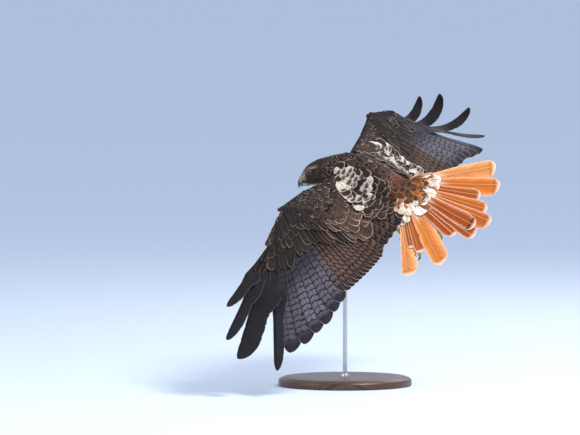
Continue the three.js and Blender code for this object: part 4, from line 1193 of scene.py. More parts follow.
def lay_feathers(coat, ground, marks, points, faces, rng):
    """Lays a small curved feather from each root along the ground, row by row.

    The row that ground["seen"] numbers is the one whose place gives the feather its marks.
    """
    sheet, lie, sizes, seen = ground["sheet"], ground["lie"], ground["sizes"], ground["seen"]
    count = len(points)
    length = sizes[faces, 0] * rng.uniform(0.85, 1.12, count)
    width = sizes[faces, 1] * rng.uniform(0.9, 1.1, count) / 2
    depth = sizes[faces, 2]
    way = unit(lie[faces] + 0.12 * rng.normal(size=(count, 3)))
    line, ups, ways = [points], [ground["normals"][faces]], [way]
    for step in np.diff(ROWS):
        ahead = line[-1] + way * (length * step)[:, None]
        place, normal, near, _ = zip(*(sheet.find_nearest(spot) for spot in ahead))
        normal = unit(0.5 * ups[-1] + np.array(normal))
        way = unit(square_to(way + 0.35 * lie[list(near)], normal))
        line.append(np.array(place))
        ups.append(normal)
        ways.append(way)
    line, ups, ways = (np.stack(a, 1) for a in (line, ups, ways))
    # A feather that bent round the rear edge of an arm would show on its other face.
    kept = (ups[:, -1, 1] > -0.55) | ~np.isin(ground["part"][faces], ("arm", "hand"))
    line, ups, ways, length, width, depth, faces = (
        a[kept] for a in (line, ups, ways, length, width, depth, faces))
    count = len(faces)
    side = unit(np.cross(ways, ups))
    each = (slice(None), None, None)
    shape = (len(ROWS), len(COLUMNS))
    outline = width[each] * ROW_WIDTH[:, None]
    offset = outline * COLUMNS * (1 + 0.1 * (rng.random((count, *shape)) - 0.5))
    height = depth[each] * ROW_RISE[:, None] * rng.uniform(0.8, 1.25, count)[each]
    height = height - 0.16 * np.abs(offset) * np.abs(COLUMNS)
    base = line[:, :, None] + side[:, :, None] * offset[..., None]
    top = base + ups[:, :, None] * (height + COLUMN_HALF)[..., None]
    low = base + ups[:, :, None] * (height - COLUMN_HALF)[..., None]
    along = (length[:, None] * ROWS)[..., None] + 0 * offset
    span = np.stack([offset, along], -1) * MM
    edge = np.minimum((1 - np.abs(COLUMNS)) * outline, (length[:, None] * (1 - ROWS))[..., None]) * MM
    tint, fringe, strength, streak = marks(line[:, seen], ups[:, seen], ground["part"][faces], rng)
    shade = np.ones((count, 2, *shape, 1))
    tint = tint.reshape(count, 1, *(tint.shape[1:-1] or (1, 1)), 3)
    tops = layer4(tint * shade, streak[:, None, None, None] * shade[..., 0])
    edges = layer4(fringe[:, None, None, None] * shade, strength[:, None, None, None] * shade[..., 0])
    local = np.zeros((2, *shape, 2))
    local[..., 0] = np.linspace(0, BAKE_SHEET, len(COLUMNS))
    local[1, ..., 0] += BAKE_SHIFT
    local[..., 1] = np.linspace(0, BAKE_SIDE, len(ROWS))[:, None]
    coat.add(top, low, np.stack([span, span], 1), np.stack([edge, edge], 1)[..., None], tops, edges,
             ground["patch"][faces][:, None, None, None] + local)


def around(grid):
    """A grid of heights nine times, moved by one cell each way or not at all."""
    rows, cols = grid.shape
    padded = np.pad(grid, 1, mode="edge")
    return [padded[i:i + rows, j:j + cols] for i in range(3) for j in range(3)]


def shoulder_cape():
    """A smooth sheet over the back and the roots of the wings, for the shoulder feathers."""
    graph = bpy.context.evaluated_depsgraph_get()
    grid = np.stack(np.meshgrid(np.arange(-136, 137, 4.0), np.arange(-180, 101, 4.0)), -1)
    down = Vector(BIRD_TURN @ -Z)
    height = np.full(grid.shape[:2], -60.0)
    for at in np.ndindex(height.shape):
        start = Vector(to_world((*grid[at], 150)))
        hit, spot, *_ = bpy.context.scene.ray_cast(graph, start, down, distance=0.21)
        if hit:
            height[at] = in_bird(spot)[2]
    height = np.max(around(height), 0)
    for _ in range(5):
        height = np.mean(around(height), 0)
    spots = np.concatenate([grid, height[..., None]], -1)
    faces = quads(np.arange(height.size).reshape(height.shape))
    spots, corners = spots.reshape(-1, 3), quads(spots)
    turn = np.cross(corners[:, 2] - corners[:, 0], corners[:, 3] - corners[:, 1])
    centres, normals = corners.mean(1), unit(turn)
    skin = tree_of(STATE["centres"])
    x, y, _ = centres.T
    lie = np.stack([x * lerp(0.004, 0.014, smoothstep(-50, -100, y)), np.full(len(x), -1.0), 0 * x], 1)
    lie = unit(square_to(lie, normals))
    sizes = np.where(on_rump(centres)[:, None], list(RUMP_FEATHER.values()), list(CAPE_FEATHER.values()))
    return {"centres": centres, "normals": normals, "areas": np.linalg.norm(turn, axis=1) / 2, "lie": lie,
            "part": np.full(len(centres), "cape"), "sizes": sizes, "corners": corners, "seen": 0,
            "patch": STATE["patch"][[skin.find(centre)[1] for centre in centres]],
            "sheet": BVHTree.FromPolygons(spots, faces.tolist())}


def on_rump(points):
    """Whether these places are in the field of the rump feathers."""
    x, y, _ = points.T
    start, end = RUMP["along"]
    return (y > start) & (y < end) & (np.abs(x) < np.interp(y, RUMP["along"], RUMP["wide"]))


def cape_of(points, side):
    """How far inside the cape and how far inside its white patch these places are."""
    cape = CAPE[side]
    out, y = points[:, 0] * side, points[:, 1]
    reach = np.interp(y, cape["along"], cape["out"]) - out
    ends = np.minimum(y - cape["along"][0], cape["along"][-1] - y)
    inside = np.minimum(np.minimum(reach, out - cape["inner"]), ends)
    (a, b), (wide, long) = cape["patch"], cape["half"]
    return inside, 1 - np.hypot((out - a) / wide, (y - b) / long)


def shoulder_marks(points, normals, part, rng):
    """Shoulder feathers: white with dark spots on the patch, dark with pale margins round it.

    Down the rump they turn rufous brown with buff margins, then orange and white.
    """
    c = plumage()
    count = len(points)
    x, y, _ = points.T
    patch = np.where(x < 0, cape_of(points, -1)[1], cape_of(points, 1)[1])
    rump = on_rump(points)
    white = (rng.random(count) < 0.62 * smoothstep(-0.2, 0.2, patch)) & ~rump
    warm = smoothstep(-10, -60, y)
    dark = lerp(c["mantle"], c["brown"], (rng.random(count) * 0.6 + 0.4 * warm)[:, None])
    tint = np.where(white[:, None], c["mottle"] * rng.uniform(0.6, 1, (count, 1)), dark)
    late = smoothstep(-62, -122, y + 0.55 * np.minimum(x, 0) + rng.normal(0, 9, count))
    creamy = smoothstep(0.8, 1, late) * rng.random(count) ** 0.3
    orange = lerp(lerp(c["tail"], c["rump"], 0.4), c["cream"], creamy[:, None])
    rufous = lerp(c["rump"], c["brown"], rng.random((count, 1)) * 0.8)
    behind = lerp(rufous, orange, smoothstep(0.5, 0.9, late)[:, None])
    tint = np.where(rump[:, None], behind, tint)[:, None, None]
    spot = np.exp(-((ROWS - 0.8) / 0.17) ** 4)[:, None] * smoothstep(1, 0.5, np.abs(COLUMNS))
    strength = np.where(white, np.clip(rng.uniform(-0.1, 3, count), 0, 0.97), 0.4)
    strength = np.where(rump, rng.uniform(0, 0.9, count) * (1 - 0.5 * late), strength)
    tint = lerp(tint, c["mantle"], strength[:, None, None, None] * spot[..., None])
    margin = smoothstep(-0.5, 0.2, patch) * rng.uniform(0.6, 1, count)
    fringe = lerp(lerp(c["fringe"], c["pale"], 0.5), c["mottle"], margin[:, None])
    buff = lerp(lerp(c["fringe"], c["tail"], 0.3), c["shaft"], late[:, None])
    fringe = np.where(rump[:, None], buff, fringe)
    edge = rng.uniform(np.where(rump, 0.15, 0.5), np.where(rump, 0.8, 1))
    return tint, fringe, edge, np.where(white | rump, 0.1, 0.2 + 0.5 * warm)


def plug(node, links):
    """Gives each input of a node a value, a socket, or the output in use of another node."""
    for key, source in links.items():
        if isinstance(source, bpy.types.Node):
            source = next(out for out in source.outputs if out.enabled)
        if isinstance(source, bpy.types.NodeSocket):
            node.id_data.links.new(source, node.inputs[key])
        else:
            node.inputs[key].default_value = source


def add_node(tree, kind, links=None, **values):
    """Adds a node with its settings and what its inputs get."""
    node = tree.nodes.new("ShaderNode" + kind)
    for key, value in values.items():
        setattr(node, key, value)
    plug(node, links or {})
    return node


def grain(millimetres):
    """Scale of a texture whose features are about this many millimetres wide."""
    return 1 / (millimetres * MM)


def new_material(name, **sockets):
    """A material, what adds a node to it, and its shader with constant sockets set."""
    material = bpy.data.materials.new(name)
    material.use_nodes = True
    shader = material.node_tree.nodes["Principled BSDF"]
    plug(shader, {key.replace("_", " ").title().replace("Ior", "IOR"): value
                  for key, value in sockets.items()})
    return material, partial(add_node, material.node_tree), shader


def finish(kind):
    """Barbed keratin: fine slanting barbs catch the light in lines across each vane, lines painted into the
    colour as a partly painted sheen and raised by a bump.
    """
    if kind in STATE:
        return STATE[kind]
    bar, quill, bright, bar_mm, bar_from, fringe_mm, shaft_mm, streak, strong = VANES[kind]
    material, node, shader = new_material(f"barbed_keratin_{kind}", roughness=0.7, specular_ior_level=0.16)
    place = node("UVMap", uv_map="Vane")
    span = node("SeparateXYZ", {0: place})
    ground, fringe, edge = (node("Attribute", attribute_name=key) for key in ("Ground", "Fringe", "Edge"))
    aside = node("Math", {0: span.outputs["X"]}, operation="ABSOLUTE")
    slant = node("Math", {0: aside, 1: -1.1, 2: span.outputs["Y"]}, operation="MULTIPLY_ADD")
    drift = node("Math", {0: span.outputs["X"], 1: 0.06}, operation="MULTIPLY")
    strand = node("CombineXYZ", {0: slant, 1: drift})
    barbs = node("TexNoise", {"Vector": strand, "Scale": grain(1.6), "Detail": 2.0})
    cloud = node("TexNoise", {"Vector": place, "Scale": grain(10.5), "Detail": 3.0})
    if streak:
        marks = node("MapRange", {"Value": aside, "From Min": streak * MM, "From Max": 0.0})
    else:
        bent = node("Math", {0: cloud, 1: 0.016, 2: span.outputs["Y"]}, operation="MULTIPLY_ADD")
        bowed = node("Math", {0: aside, 1: -0.2, 2: bent}, operation="MULTIPLY_ADD")
        phase = node("Math", {0: bowed, 1: 2 * math.pi / (bar_mm * MM)}, operation="MULTIPLY")
        wave = node("Math", {0: phase}, operation="SINE")
        marks = node("MapRange", {"Value": wave, "From Min": bar_from, "From Max": bar_from + 0.2})
    marked = node("Math", {0: marks, 1: ground.outputs["Alpha"]}, operation="MULTIPLY")
    # Barb lines lighten and darken the ground colour: partly the barbs' own grain, partly painted sheen.
    tone = node("MapRange", {"Value": barbs, "From Min": 0.3, "From Max": 0.7,
                             "To Min": 0.72, "To Max": 1.25})
    base = node("VectorMath", {0: ground, 1: tone}, operation="MULTIPLY")
    dark = node("Mix", {"Factor": marked, 6: base, 7: pigment("colours", bar)}, data_type="RGBA")
    ragged = node("Math", {0: cloud, 1: -0.0012, 2: edge.outputs["Fac"]}, operation="MULTIPLY_ADD")
    rim = node("MapRange", {"Value": ragged, "From Min": fringe_mm * MM - 0.0006, "From Max": -0.0004})
    rimmed = node("Math", {0: rim, 1: fringe.outputs["Alpha"]}, operation="MULTIPLY")
    edged = node("Mix", {"Factor": rimmed, 6: dark, 7: fringe}, data_type="RGBA")
    shaft = node("MapRange", {"Value": aside, "From Min": (shaft_mm * 0.5 + 0.25) * MM,
                              "From Max": shaft_mm * 0.5 * MM, "To Max": strong})
    final = node("Mix", {"Factor": shaft, 6: edged, 7: pigment("colours", quill, bright)}, data_type="RGBA")
    bump = node("Bump", {"Strength": 0.35, "Distance": 0.0004, "Height": barbs})
    plug(shader, {"Base Color": final, "Normal": bump})
    STATE[kind] = material
    return material


def plain_material(name, base, roughness, grain_mm, contrast=0.25, bump=0.2, **sockets):
    """A grained surface of one colour with the given size of grain."""
    material, node, shader = new_material(name, roughness=roughness, **sockets)
    where = node("TexCoord").outputs["Object"]
    noise = node("TexNoise", {"Vector": where, "Scale": grain(grain_mm), "Detail": 4.0})
    tone = node("MapRange", {"Value": noise, "From Min": 0.3, "From Max": 0.7,
                             "To Min": 1 - contrast, "To Max": 1 + contrast})
    raised = node("Bump", {"Strength": bump, "Distance": 0.0005, "Height": noise})
    plug(shader, {"Base Color": node("VectorMath", {0: tuple(base), 1: tone}, operation="MULTIPLY"),
                  "Normal": raised})
    return material


class HAWK_OT_skin(Operator):
    """Closes the flesh under the feathers in one skin"""
    bl_idname = "hawk.skin"
    bl_label = "Skin"

    def execute(self, context):
        mesh = grow_skin()
        # Skin: matt, downy and finely wrinkled where it shows between the feathers.
        material, node, shader = new_material("down_covered_skin", roughness=0.9, specular_ior_level=0.1)
        where = node("TexCoord").outputs["Object"]
        down = node("TexNoise", {"Vector": where, "Scale": grain(1.1), "Detail": 3.0})
        tone = node("MapRange", {"Value": down, "To Min": 0.5, "To Max": 1.1})
        coloured = node("Attribute", attribute_name="Ground")
        base = node("VectorMath", {0: coloured, 1: tone}, operation="MULTIPLY")
        bump = node("Bump", {"Strength": 0.6, "Distance": 0.001, "Height": down})
        plug(shader, {"Base Color": base, "Normal": bump})
        piece = show("hawk_skin", mesh, material)
        unwrap_skin(piece)
        rng = draws()
        ground = markings(STATE["centres"], STATE["normals"], STATE["part"], rng)[0]
        sides = [len(p.vertices) for p in mesh.polygons]
        paint(mesh, "Ground", np.repeat(layer4(ground, 1.0), sides, 0).ravel())
        settle(piece, "plumage_body", "torso", "neck", "head", "thigh_left", "thigh_right",
               "wing_left_arm", "wing_left_hand", "wing_right_arm", "wing_right_hand", "tail")
        return {"FINISHED"}


def varied(kind, rng):
    """A covert a little longer, wider and higher or lower than its row."""
    wider = rng.uniform(0.9, 1.12)
    return {**kind, "lead": kind["lead"] * wider, "trail": kind["trail"] * wider,
            "length": kind["length"] * rng.uniform(0.88, 1.1), "lift": kind["lift"] * rng.uniform(0.93, 1.1)}


class HAWK_OT_wings(Operator):
    """Lays the flight feathers and coverts of both wings"""
    bl_idname = "hawk.wings"
    bl_label = "Wings"

    def execute(self, context):
        count = WING_END + 1
        for name, wing in WINGS.items():
            nodes = (f"wing_{name}_hand", f"wing_{name}_arm")
            rng = draws(wing["side"])
            fan = wing_fan(wing)
            kinds = [{**FINGER, "trail": trail} for trail in wing["finger_trail"]]
            kinds += [KINDS["primary"]] * (PRIMARIES - FINGERS) + [KINDS["secondary"]] * SECONDARIES
            kinds += [KINDS["tertial"]] * TERTIAL["count"]
            for row, label, places in (("primary", "primaries", range(PRIMARIES)),
                                       ("secondary", "secondaries", range(PRIMARIES, count))):
                quills = Coat(f"wing_{name}_{label}")
                for k in places:
                    fan_feather(quills, fan, k, kinds[k], dress_flight, rng, (k, count), step=4.5)
                quills.build(finish(row), "plumage_wing", *nodes)
            jobs = [(kind, q) for kind, first, last in COVERT_ROWS for q in np.arange(first, last, 1)]
            coverts = Coat(f"wing_{name}_coverts")
            for k, (kind, q) in enumerate(jobs):
                dress = dress_lining if kind.startswith("under") else dress_covert
                place = q + rng.uniform(-0.22, 0.22)
                fan_feather(coverts, fan, place, varied(KINDS[kind], rng), dress, rng, (k, len(jobs)))
            thumb = thumb_fan(wing, fan)
            for k in range(ALULA["count"]):
                fan_feather(coverts, thumb, k, KINDS["thumb"], dress_covert, rng, (k, len(jobs)))
            coverts.build(finish("covert"), "plumage_wing", *nodes)
        return {"FINISHED"}


class HAWK_OT_tail(Operator):
    """Lays the tail feathers and their coverts"""
    bl_idname = "hawk.tail"
    bl_label = "Tail"

    def execute(self, context):
        rng = draws(20)
        fan = tail_fan()
        count = len(TAIL_ANGLES)
        quills = Coat("tail_quills")
        lay_tail(quills, fan, 0, count, KINDS["tail"], KINDS["middle_tail"], dress_tail, rng)
        quills.build(finish("tail_quill"), "plumage_tail", "tail")
        coverts = Coat("tail_coverts")
        for name, first, number, dress in (("tail_covert", 0.5, count - 1, dress_tail_covert),
                                           ("short_tail_covert", 0, count, dress_tail_covert),
                                           ("under_tail_covert", 0.5, count - 1, dress_lining)):
            lay_tail(coverts, fan, first, number, KINDS[name], KINDS[name], dress, rng)
        coverts.build(finish("covert"), "plumage_tail", "tail")
        return {"FINISHED"}


def lay_tail(coat, fan, first, count, kind, top_kind, dress, rng):
    """The middle feather lies on top, and each half is shingled outward from it."""
    middle = (len(TAIL_ANGLES) - 1) // 2
    mirrored = {**kind, "lead": kind["trail"], "trail": kind["lead"], "reach": kind["reach"][::-1]}
    for k in range(count):
        chosen, over = (top_kind, 0) if k == middle else (kind, 1) if k < middle else (mirrored, -1)
        place = first + k
        if chosen.get("length"):
            place += rng.uniform(-0.3, 0.3)
            chosen = varied(chosen, rng)
            chosen["length"] *= rng.uniform(0.85, 1.1)
        fan_feather(coat, fan, place, chosen, dress, rng, (k, count), over=over)


class HAWK_OT_scapulars(Operator):
    """Lays the shoulder feathers over the back and the roots of the wings"""
    bl_idname = "hawk.scapulars"
    bl_label = "Scapulars"

    def execute(self, context):
        rng = draws(30)
        cape = shoulder_cape()
        inside = np.maximum(cape_of(cape["centres"], -1)[0], cape_of(cape["centres"], 1)[0])
        chosen = ((inside > 0) | on_rump(cape["centres"])) & (cape["normals"][:, 2] > 0.45)
        points, faces = scatter(cape, chosen, rng)
        coat = Coat("scapulars")
        lay_feathers(coat, cape, shoulder_marks, points, faces, rng)
        coat.build(finish("covert"), "plumage_body", "torso")
        return {"FINISHED"}


class HAWK_OT_contour(Operator):
    """Covers the skin with small feathers that follow its lie"""
    bl_idname = "hawk.contour"
    bl_label = "Body feathers"

    def execute(self, context):
        part, centres, normals = STATE["part"], STATE["centres"], STATE["normals"]
        eye_gap = np.full(len(centres), 99.0)
        for side in (-1, 1):
            socket = from_head(np.array([[side * LID["out"], EYE["fore"], EYE["up"]]]))[0]
            eye_gap = np.minimum(eye_gap, np.linalg.norm(centres - socket, axis=1))
        out, ahead, up = centres[:, 0], normals[:, 1] > -0.45, normals[:, 2]
        clad = (eye_gap > 7.4) & (to_head(centres)[:, 1] < 35.9)
        groups = (
            ("plumage_back", "plumage_body", ("trunk", "vent"), up > -0.1, ("torso",)),
            ("plumage_belly", "plumage_body", ("trunk", "vent"), up <= -0.1, ("torso",)),
            ("plumage_neck", "plumage_head", ("neck",), True, ("neck",)),
            ("plumage_head", "plumage_head", ("head",), clad, ("head",)),
            ("plumage_left_wing", "plumage_wing", ("arm", "hand"), ahead & (out < 0), ("wing_left_arm",)),
            ("plumage_right_wing", "plumage_wing", ("arm", "hand"), ahead & (out > 0), ("wing_right_arm",)),
            ("plumage_thighs", "plumage_leg", ("thigh",), True, ("thigh_left", "thigh_right")),
        )
        for k, (name, slot, parts, where, nodes) in enumerate(groups):
            rng = draws(40 + k)
            points, faces = scatter(STATE, np.isin(part, parts) & where, rng)
            coat = Coat(name)
            lay_feathers(coat, STATE, markings, points, faces, rng)
            coat.build(finish("contour"), slot, *nodes)
        return {"FINISHED"}


def lid_rings(centre, axis, around=48):
    """Sections of a ring round the eye, a little lower than wide."""
    side = unit(np.cross(axis, Z))
    up = np.cross(side, axis)
    rings = []
    for turn in 2 * math.pi * np.arange(around) / around:
        out = side * math.cos(turn) + up * math.sin(turn) * 0.93
        rings.append(from_head(oval(centre + out * LID["radius"], unit(out), axis, *[LID["tube"]] * 3, 12)))
    return rings


class HAWK_OT_face(Operator):
    """Makes the eyes, their lids and the line of the gape"""
    bl_idname = "hawk.face"
    bl_label = "Eyes and lids"

    def execute(self, context):
        eye = eye_material()
        # Lids: bare grey skin, matt and finely wrinkled round the wet eye.
        lid = plain_material("bare_lid_skin", linear("#2C2923"), 0.7, 1.2)
        # Gape: soft yellow skin with a slight shine at the corner of the mouth.
        gape = plain_material("soft_gape_skin", rgb("bare", "cere"), 0.45, 1.5)
        for name, side in (("left", -1), ("right", 1)):
            axis = unit(turned(np.array([side, 0, 0.0]), Z, side * LID["turn"]))
            ball = eyeball(np.array([side * EYE["out"], EYE["fore"], EYE["up"]]), axis)
            settle(show(f"hawk_eye_{name}", ball, eye), "eye", f"eye_{name}")
            rings = lid_rings(np.array([side * LID["out"], EYE["fore"], EYE["up"]]), axis)
            settle(show(f"eyelid_{name}", loft_mesh([rings], closed=True), lid), "plumage_head")
            rings = [from_head(oval(np.array([side * out, fore, up]), Z, X, r, r, r, 10))
                     for fore, up, out, r in smooth_rows(GAPE, 5)]
            settle(show(f"gape_{name}", loft_mesh([rings]), gape), "cere")
        return {"FINISHED"}


def eyeball(centre, axis):
    """A ball with its pole at the pupil and a cornea that bulges a little."""
    side = unit(np.cross(axis, Z))
    up = np.cross(side, axis)
    rings = []
    for k in range(1, 40):
        angle = math.pi * k / 40
        radius = EYE["radius"] + 0.35 * math.exp(-(angle / 0.5) ** 2)
        middle = centre + axis * radius * math.cos(angle)
        rings.append(from_head(oval(middle, side, up, *[radius * math.sin(angle)] * 3, 40)))
    mesh = loft_mesh([rings])
    local = to_head(in_bird([v.co for v in mesh.vertices])) - centre
    gaze = local @ np.stack([side, up, axis], 1) / EYE["radius"]
    mesh.attributes.new("Gaze", "FLOAT_VECTOR", "POINT").data.foreach_set("vector", gaze.ravel())
    return mesh


def eye_material():
    """Wet eye: a clear coat gives the sharp highlight over a dark pupil and brown fibres."""
    material, node, shader = new_material("glass_eye", roughness=0.2, ior=1.34, coat_weight=0.35,
                                          coat_roughness=0.02)
    gaze = node("Attribute", attribute_name="Gaze").outputs["Vector"]
    axis = node("SeparateXYZ", {0: gaze})
    flat = node("CombineXYZ", {0: axis.outputs["X"], 1: axis.outputs["Y"]})
    reach = node("VectorMath", {0: flat}, operation="LENGTH")
    angle = node("Math", {0: axis.outputs["Y"], 1: axis.outputs["X"]}, operation="ARCTAN2")
    fibre_place = node("CombineXYZ", {0: angle, 1: reach})
    fibres = node("TexNoise", {"Vector": fibre_place, "Scale": 9.0, "Detail": 4.0})
    tone = node("MapRange", {"Value": fibres, "To Min": 0.5, "To Max": 1.5})
    iris = node("VectorMath", {0: tuple(rgb("bare", "iris")), 1: tone}, operation="MULTIPLY")
    pupil = node("MapRange", {"Value": reach, "From Min": 0.33, "From Max": 0.37})
    rim = node("MapRange", {"Value": reach, "From Min": 0.74, "From Max": 0.66})
    seen = node("Math", {0: pupil, 1: rim}, operation="MULTIPLY")
    final = node("Mix", {"Factor": seen, 6: (*linear("#0D0A0A"), 1), 7: iris}, data_type="RGBA")
    plug(shader, {"Base Color": final})
    return material


def bill_rings(shape, swell=0, count=32):
    """Sections between the ridge and the cutting edge, narrower at the ridge."""
    table = [(*ridge, *edge, half) for ridge, edge, half in zip(shape["ridge"], shape["edge"], shape["half"])]
    rings = []
    for rf, ru, ef, eu, half in smooth_rows(table, 8):
        top, low = np.array([0, rf, ru]), np.array([0, ef, eu])
        middle = lerp(top, low, 0.5)
        rise = (top - low) / 2
        turn = 2 * math.pi * np.arange(count) / count
        high = np.sin(turn)
        wide = np.cos(turn) * np.where(high > 0, 1 - 0.16 * high, 1.0)
        rings.append(from_head(middle + np.outer(wide * (half + swell), X) + np.outer(high, rise)))
    return rings


class HAWK_OT_bill(Operator):
    """Makes the cere with its nostrils and both halves of the bill"""
    bl_idname = "hawk.bill"
    bl_label = "Bill"

    def execute(self, context):
        # Bill: slate horn, worn smooth, paler where it grows from the cere.
        horn, node, shader = new_material("polished_bill_horn", roughness=0.32, ior=1.55)
        growth = node("Attribute", attribute_name="Growth").outputs["Fac"]
        where = node("TexCoord").outputs["Object"]
        streaks = node("TexNoise", {"Vector": where, "Scale": grain(1.4)})
        shade = node("Math", {0: streaks, 1: 0.3, 2: growth}, operation="MULTIPLY_ADD")
        share = node("MapRange", {"Value": shade, "From Min": 0.1, "From Max": 0.6})
        mixed = node("Mix", {"Factor": share, 6: pigment("bare", "bill_base"), 7: pigment("bare", "bill")},
                     data_type="RGBA")
        bump = node("Bump", {"Strength": 0.15, "Distance": 0.0003, "Height": streaks})
        plug(shader, {"Base Color": mixed, "Normal": bump})
        for name, shape, solid in (("bill_hook", BILL, "bill_upper"), ("bill_jaw", JAW, "bill_lower")):
            rings = bill_rings(shape)
            mesh = loft_mesh([rings])
            layer = mesh.attributes.new("Growth", "FLOAT", "POINT")
            layer.data.foreach_set("value", np.repeat(np.linspace(0, 1, len(rings)), len(rings[0])))
            settle(show(name, mesh, horn), "bill", solid)
        # Cere: dull olive yellow skin with fine pores.
        wax = plain_material("waxy_cere_skin", rgb("bare", "cere"), 0.42, 1.6, 0.18)
        settle(show("bill_cere", loft_mesh([bill_rings(CERE, 0.4)]), wax), "cere", "cere")
        # Nostrils: ovals that read as black, near black painted shade on the cere that stands in for the
        # depth of the open nostrils.
        dark = plain_material("nostril_hollow", linear("#0C0A09"), 0.9, 1)
        for name, side in (("left", -1), ("right", 1)):
            rings = [from_head(oval(np.array([side * out, *NOSTRIL["place"]]), unit(Y + 0.5 * Z),
                                    unit(Z - 0.5 * Y), r, r * 0.7, r * 0.7, 14))
                     for out, r in NOSTRIL["rings"]]
            settle(show(f"nostril_{name}", loft_mesh([rings]), dark), "cere")
        return {"FINISHED"}


def toe_lines(leg):
    """The middle line of each toe, and the way in which all of them curl."""
    sole, hock = np.array(leg["foot"], float), np.array(leg["hock"], float)
    down = unit(sole - hock)
    across = unit(X - down * down[0])
    curl = unit(np.cross(across, down))
    lines = []
    for turn, length in TOES:
        out = turned(down, curl, leg["side"] * turn)
        t = np.linspace(0, 1, 25)[:, None]
        lines.append((sole + out * length * t * (1 - 0.2 * t) + curl * length * TOE_CURL * t * t, curl))
    return lines


def scaled_tube(points, radii, below, plate, pad, count=20):
    """A toe or shin: raised plates on top every few millimetres and pads below."""
    lengths = np.concatenate([[0], np.cumsum(np.linalg.norm(np.diff(points, axis=0), axis=1))])
    rings = []
    for k, point in enumerate(points):
        along = unit(points[min(k + 1, len(points) - 1)] - points[max(k - 1, 0)])
        under = unit(below - along * (below @ along))
        side = np.cross(along, under)
        turn = 2 * math.pi * np.arange(count) / count
        ridge = 0.05 * abs(math.sin(math.pi * lengths[k] / plate)) * np.maximum(-np.sin(turn), 0)
        bulge = 0.22 * math.sin(math.pi * lengths[k] / pad) ** 2 * np.maximum(np.sin(turn), 0)
        radius = radii[k] * (1 + ridge + bulge)
        rings.append(point + np.outer(np.cos(turn) * radius * 0.94, side)
                     + np.outer(np.sin(turn) * radius, under))
    return rings


class HAWK_OT_feet(Operator):
    """Makes the scaled shins and toes, and the claws"""
    bl_idname = "hawk.feet"
    bl_label = "Feet"

    def execute(self, context):
        skin = scale_material()
        # Claws: black horn, polished by use.
        horn = plain_material("polished_claw_horn", rgb("bare", "claw"), 0.28, 3, 0.2, 0.1)
        for leg in LEGS:
            name = leg["name"]
            sole, hock = np.array(leg["foot"], float), np.array(leg["hock"], float)
            steps = np.linspace(0, 1, 40)
            shin = lerp(hock, sole + unit(sole - hock) * 6, steps[:, None])
            lines = toe_lines(leg)
            lofts = [scaled_tube(shin, np.interp(steps, *SHIN), lines[0][1], 5, 400)]
            for line, curl in lines:
                lofts.append(scaled_tube(line, np.interp(np.linspace(0, 1, len(line)), *TOE), curl, 3.5, 12))
            settle(show(f"foot_scaled_{name}", grown(lofts, 0.0007, 2), skin), "foot", f"foot_{name}")
            claws = loft_mesh([claw_rings(line, curl) for line, curl in lines])
            settle(show(f"claws_{name}", claws, horn), "claw", *(f"claw_{name}_{k}" for k in (1, 2, 3, 4)))
        return {"FINISHED"}


def claw_rings(line, toe_curl):
    end, along = line[-1], unit(line[-1] - line[-4])
    curl = unit(toe_curl - along * (toe_curl @ along))
    t = np.linspace(-0.08, 1, 18)
    points = end + np.outer(GAP + CLAW["length"] * t, along)
    points = points + np.outer(CLAW["drop"] * np.maximum(t, 0) ** 2, curl)
    radii = CLAW["radius"] * np.maximum(1 - np.maximum(t, 0) ** 1.4, 0.07) ** 0.8
    return scaled_tube(points, radii, curl, 500, 500, 14)


def scale_material():
    """Scaled leg skin: yellow plates about 2 mm across with darker lines between them."""
    material, node, shader = new_material("scaled_leg_skin", roughness=0.5, ior=1.45)
    where = node("TexCoord").outputs["Object"]
    cells = node("TexVoronoi", {"Vector": where, "Scale": grain(2.1)}, feature="DISTANCE_TO_EDGE")
    line = node("MapRange", {"Value": cells.outputs["Distance"], "From Max": 0.12})
    mixed = node("Mix", {"Factor": line, 6: pigment("bare", "foot", 0.35), 7: pigment("bare", "foot")},
                 data_type="RGBA")
    bump = node("Bump", {"Strength": 0.5, "Distance": 0.0005, "Height": line})
    plug(shader, {"Base Color": mixed, "Normal": bump})
    return material


def lathe(profile, count=96):
    """A turned solid from rows of radius and height in metres."""
    rings = [oval(np.array([0, 0, z]), X, Y, r, r, r, count) for r, z in profile]
    return loft_mesh([rings], place=np.asarray)


class HAWK_OT_stand(Operator):
    """Makes the turned wooden base and the steel rod"""
    bl_idname = "hawk.stand"
    bl_label = "Stand"

    def execute(self, context):
        values = settings("stand")
        radius, thick, rod = values.radius, values.thickness, values.rod
        inward, upward = BASE_ROUND
        profile = [(radius * 0.9, 0), (radius - 0.002, 0), (radius, 0.002), (radius, thick * 0.45)]
        profile += [(radius - inward * (1 - math.cos(a)), thick * 0.45 + upward * math.sin(a))
                    for a in np.linspace(0, math.pi / 2, 8)]
        profile += [(radius - 0.0085, thick - 0.0025), (radius - 0.01, thick - 0.0006),
                    (radius - 0.012, thick), (radius * 0.5, thick), (0.006, thick)]
        base = show("stand_walnut_base", lathe(profile), wood_material(), sharp=40)
        settle(base, "stand_wood", "stand_base")
        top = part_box("stand_rod")[1].z + 0.008
        profile = [(rod + wider, thick + up) for wider, up in COLLAR] + [(rod, top), (rod * 0.6, top + 0.001)]
        bar = show("stand_steel_rod", lathe(profile, 48), steel_material(), sharp=40)
        settle(bar, "stand_steel", "stand_rod")
        return {"FINISHED"}


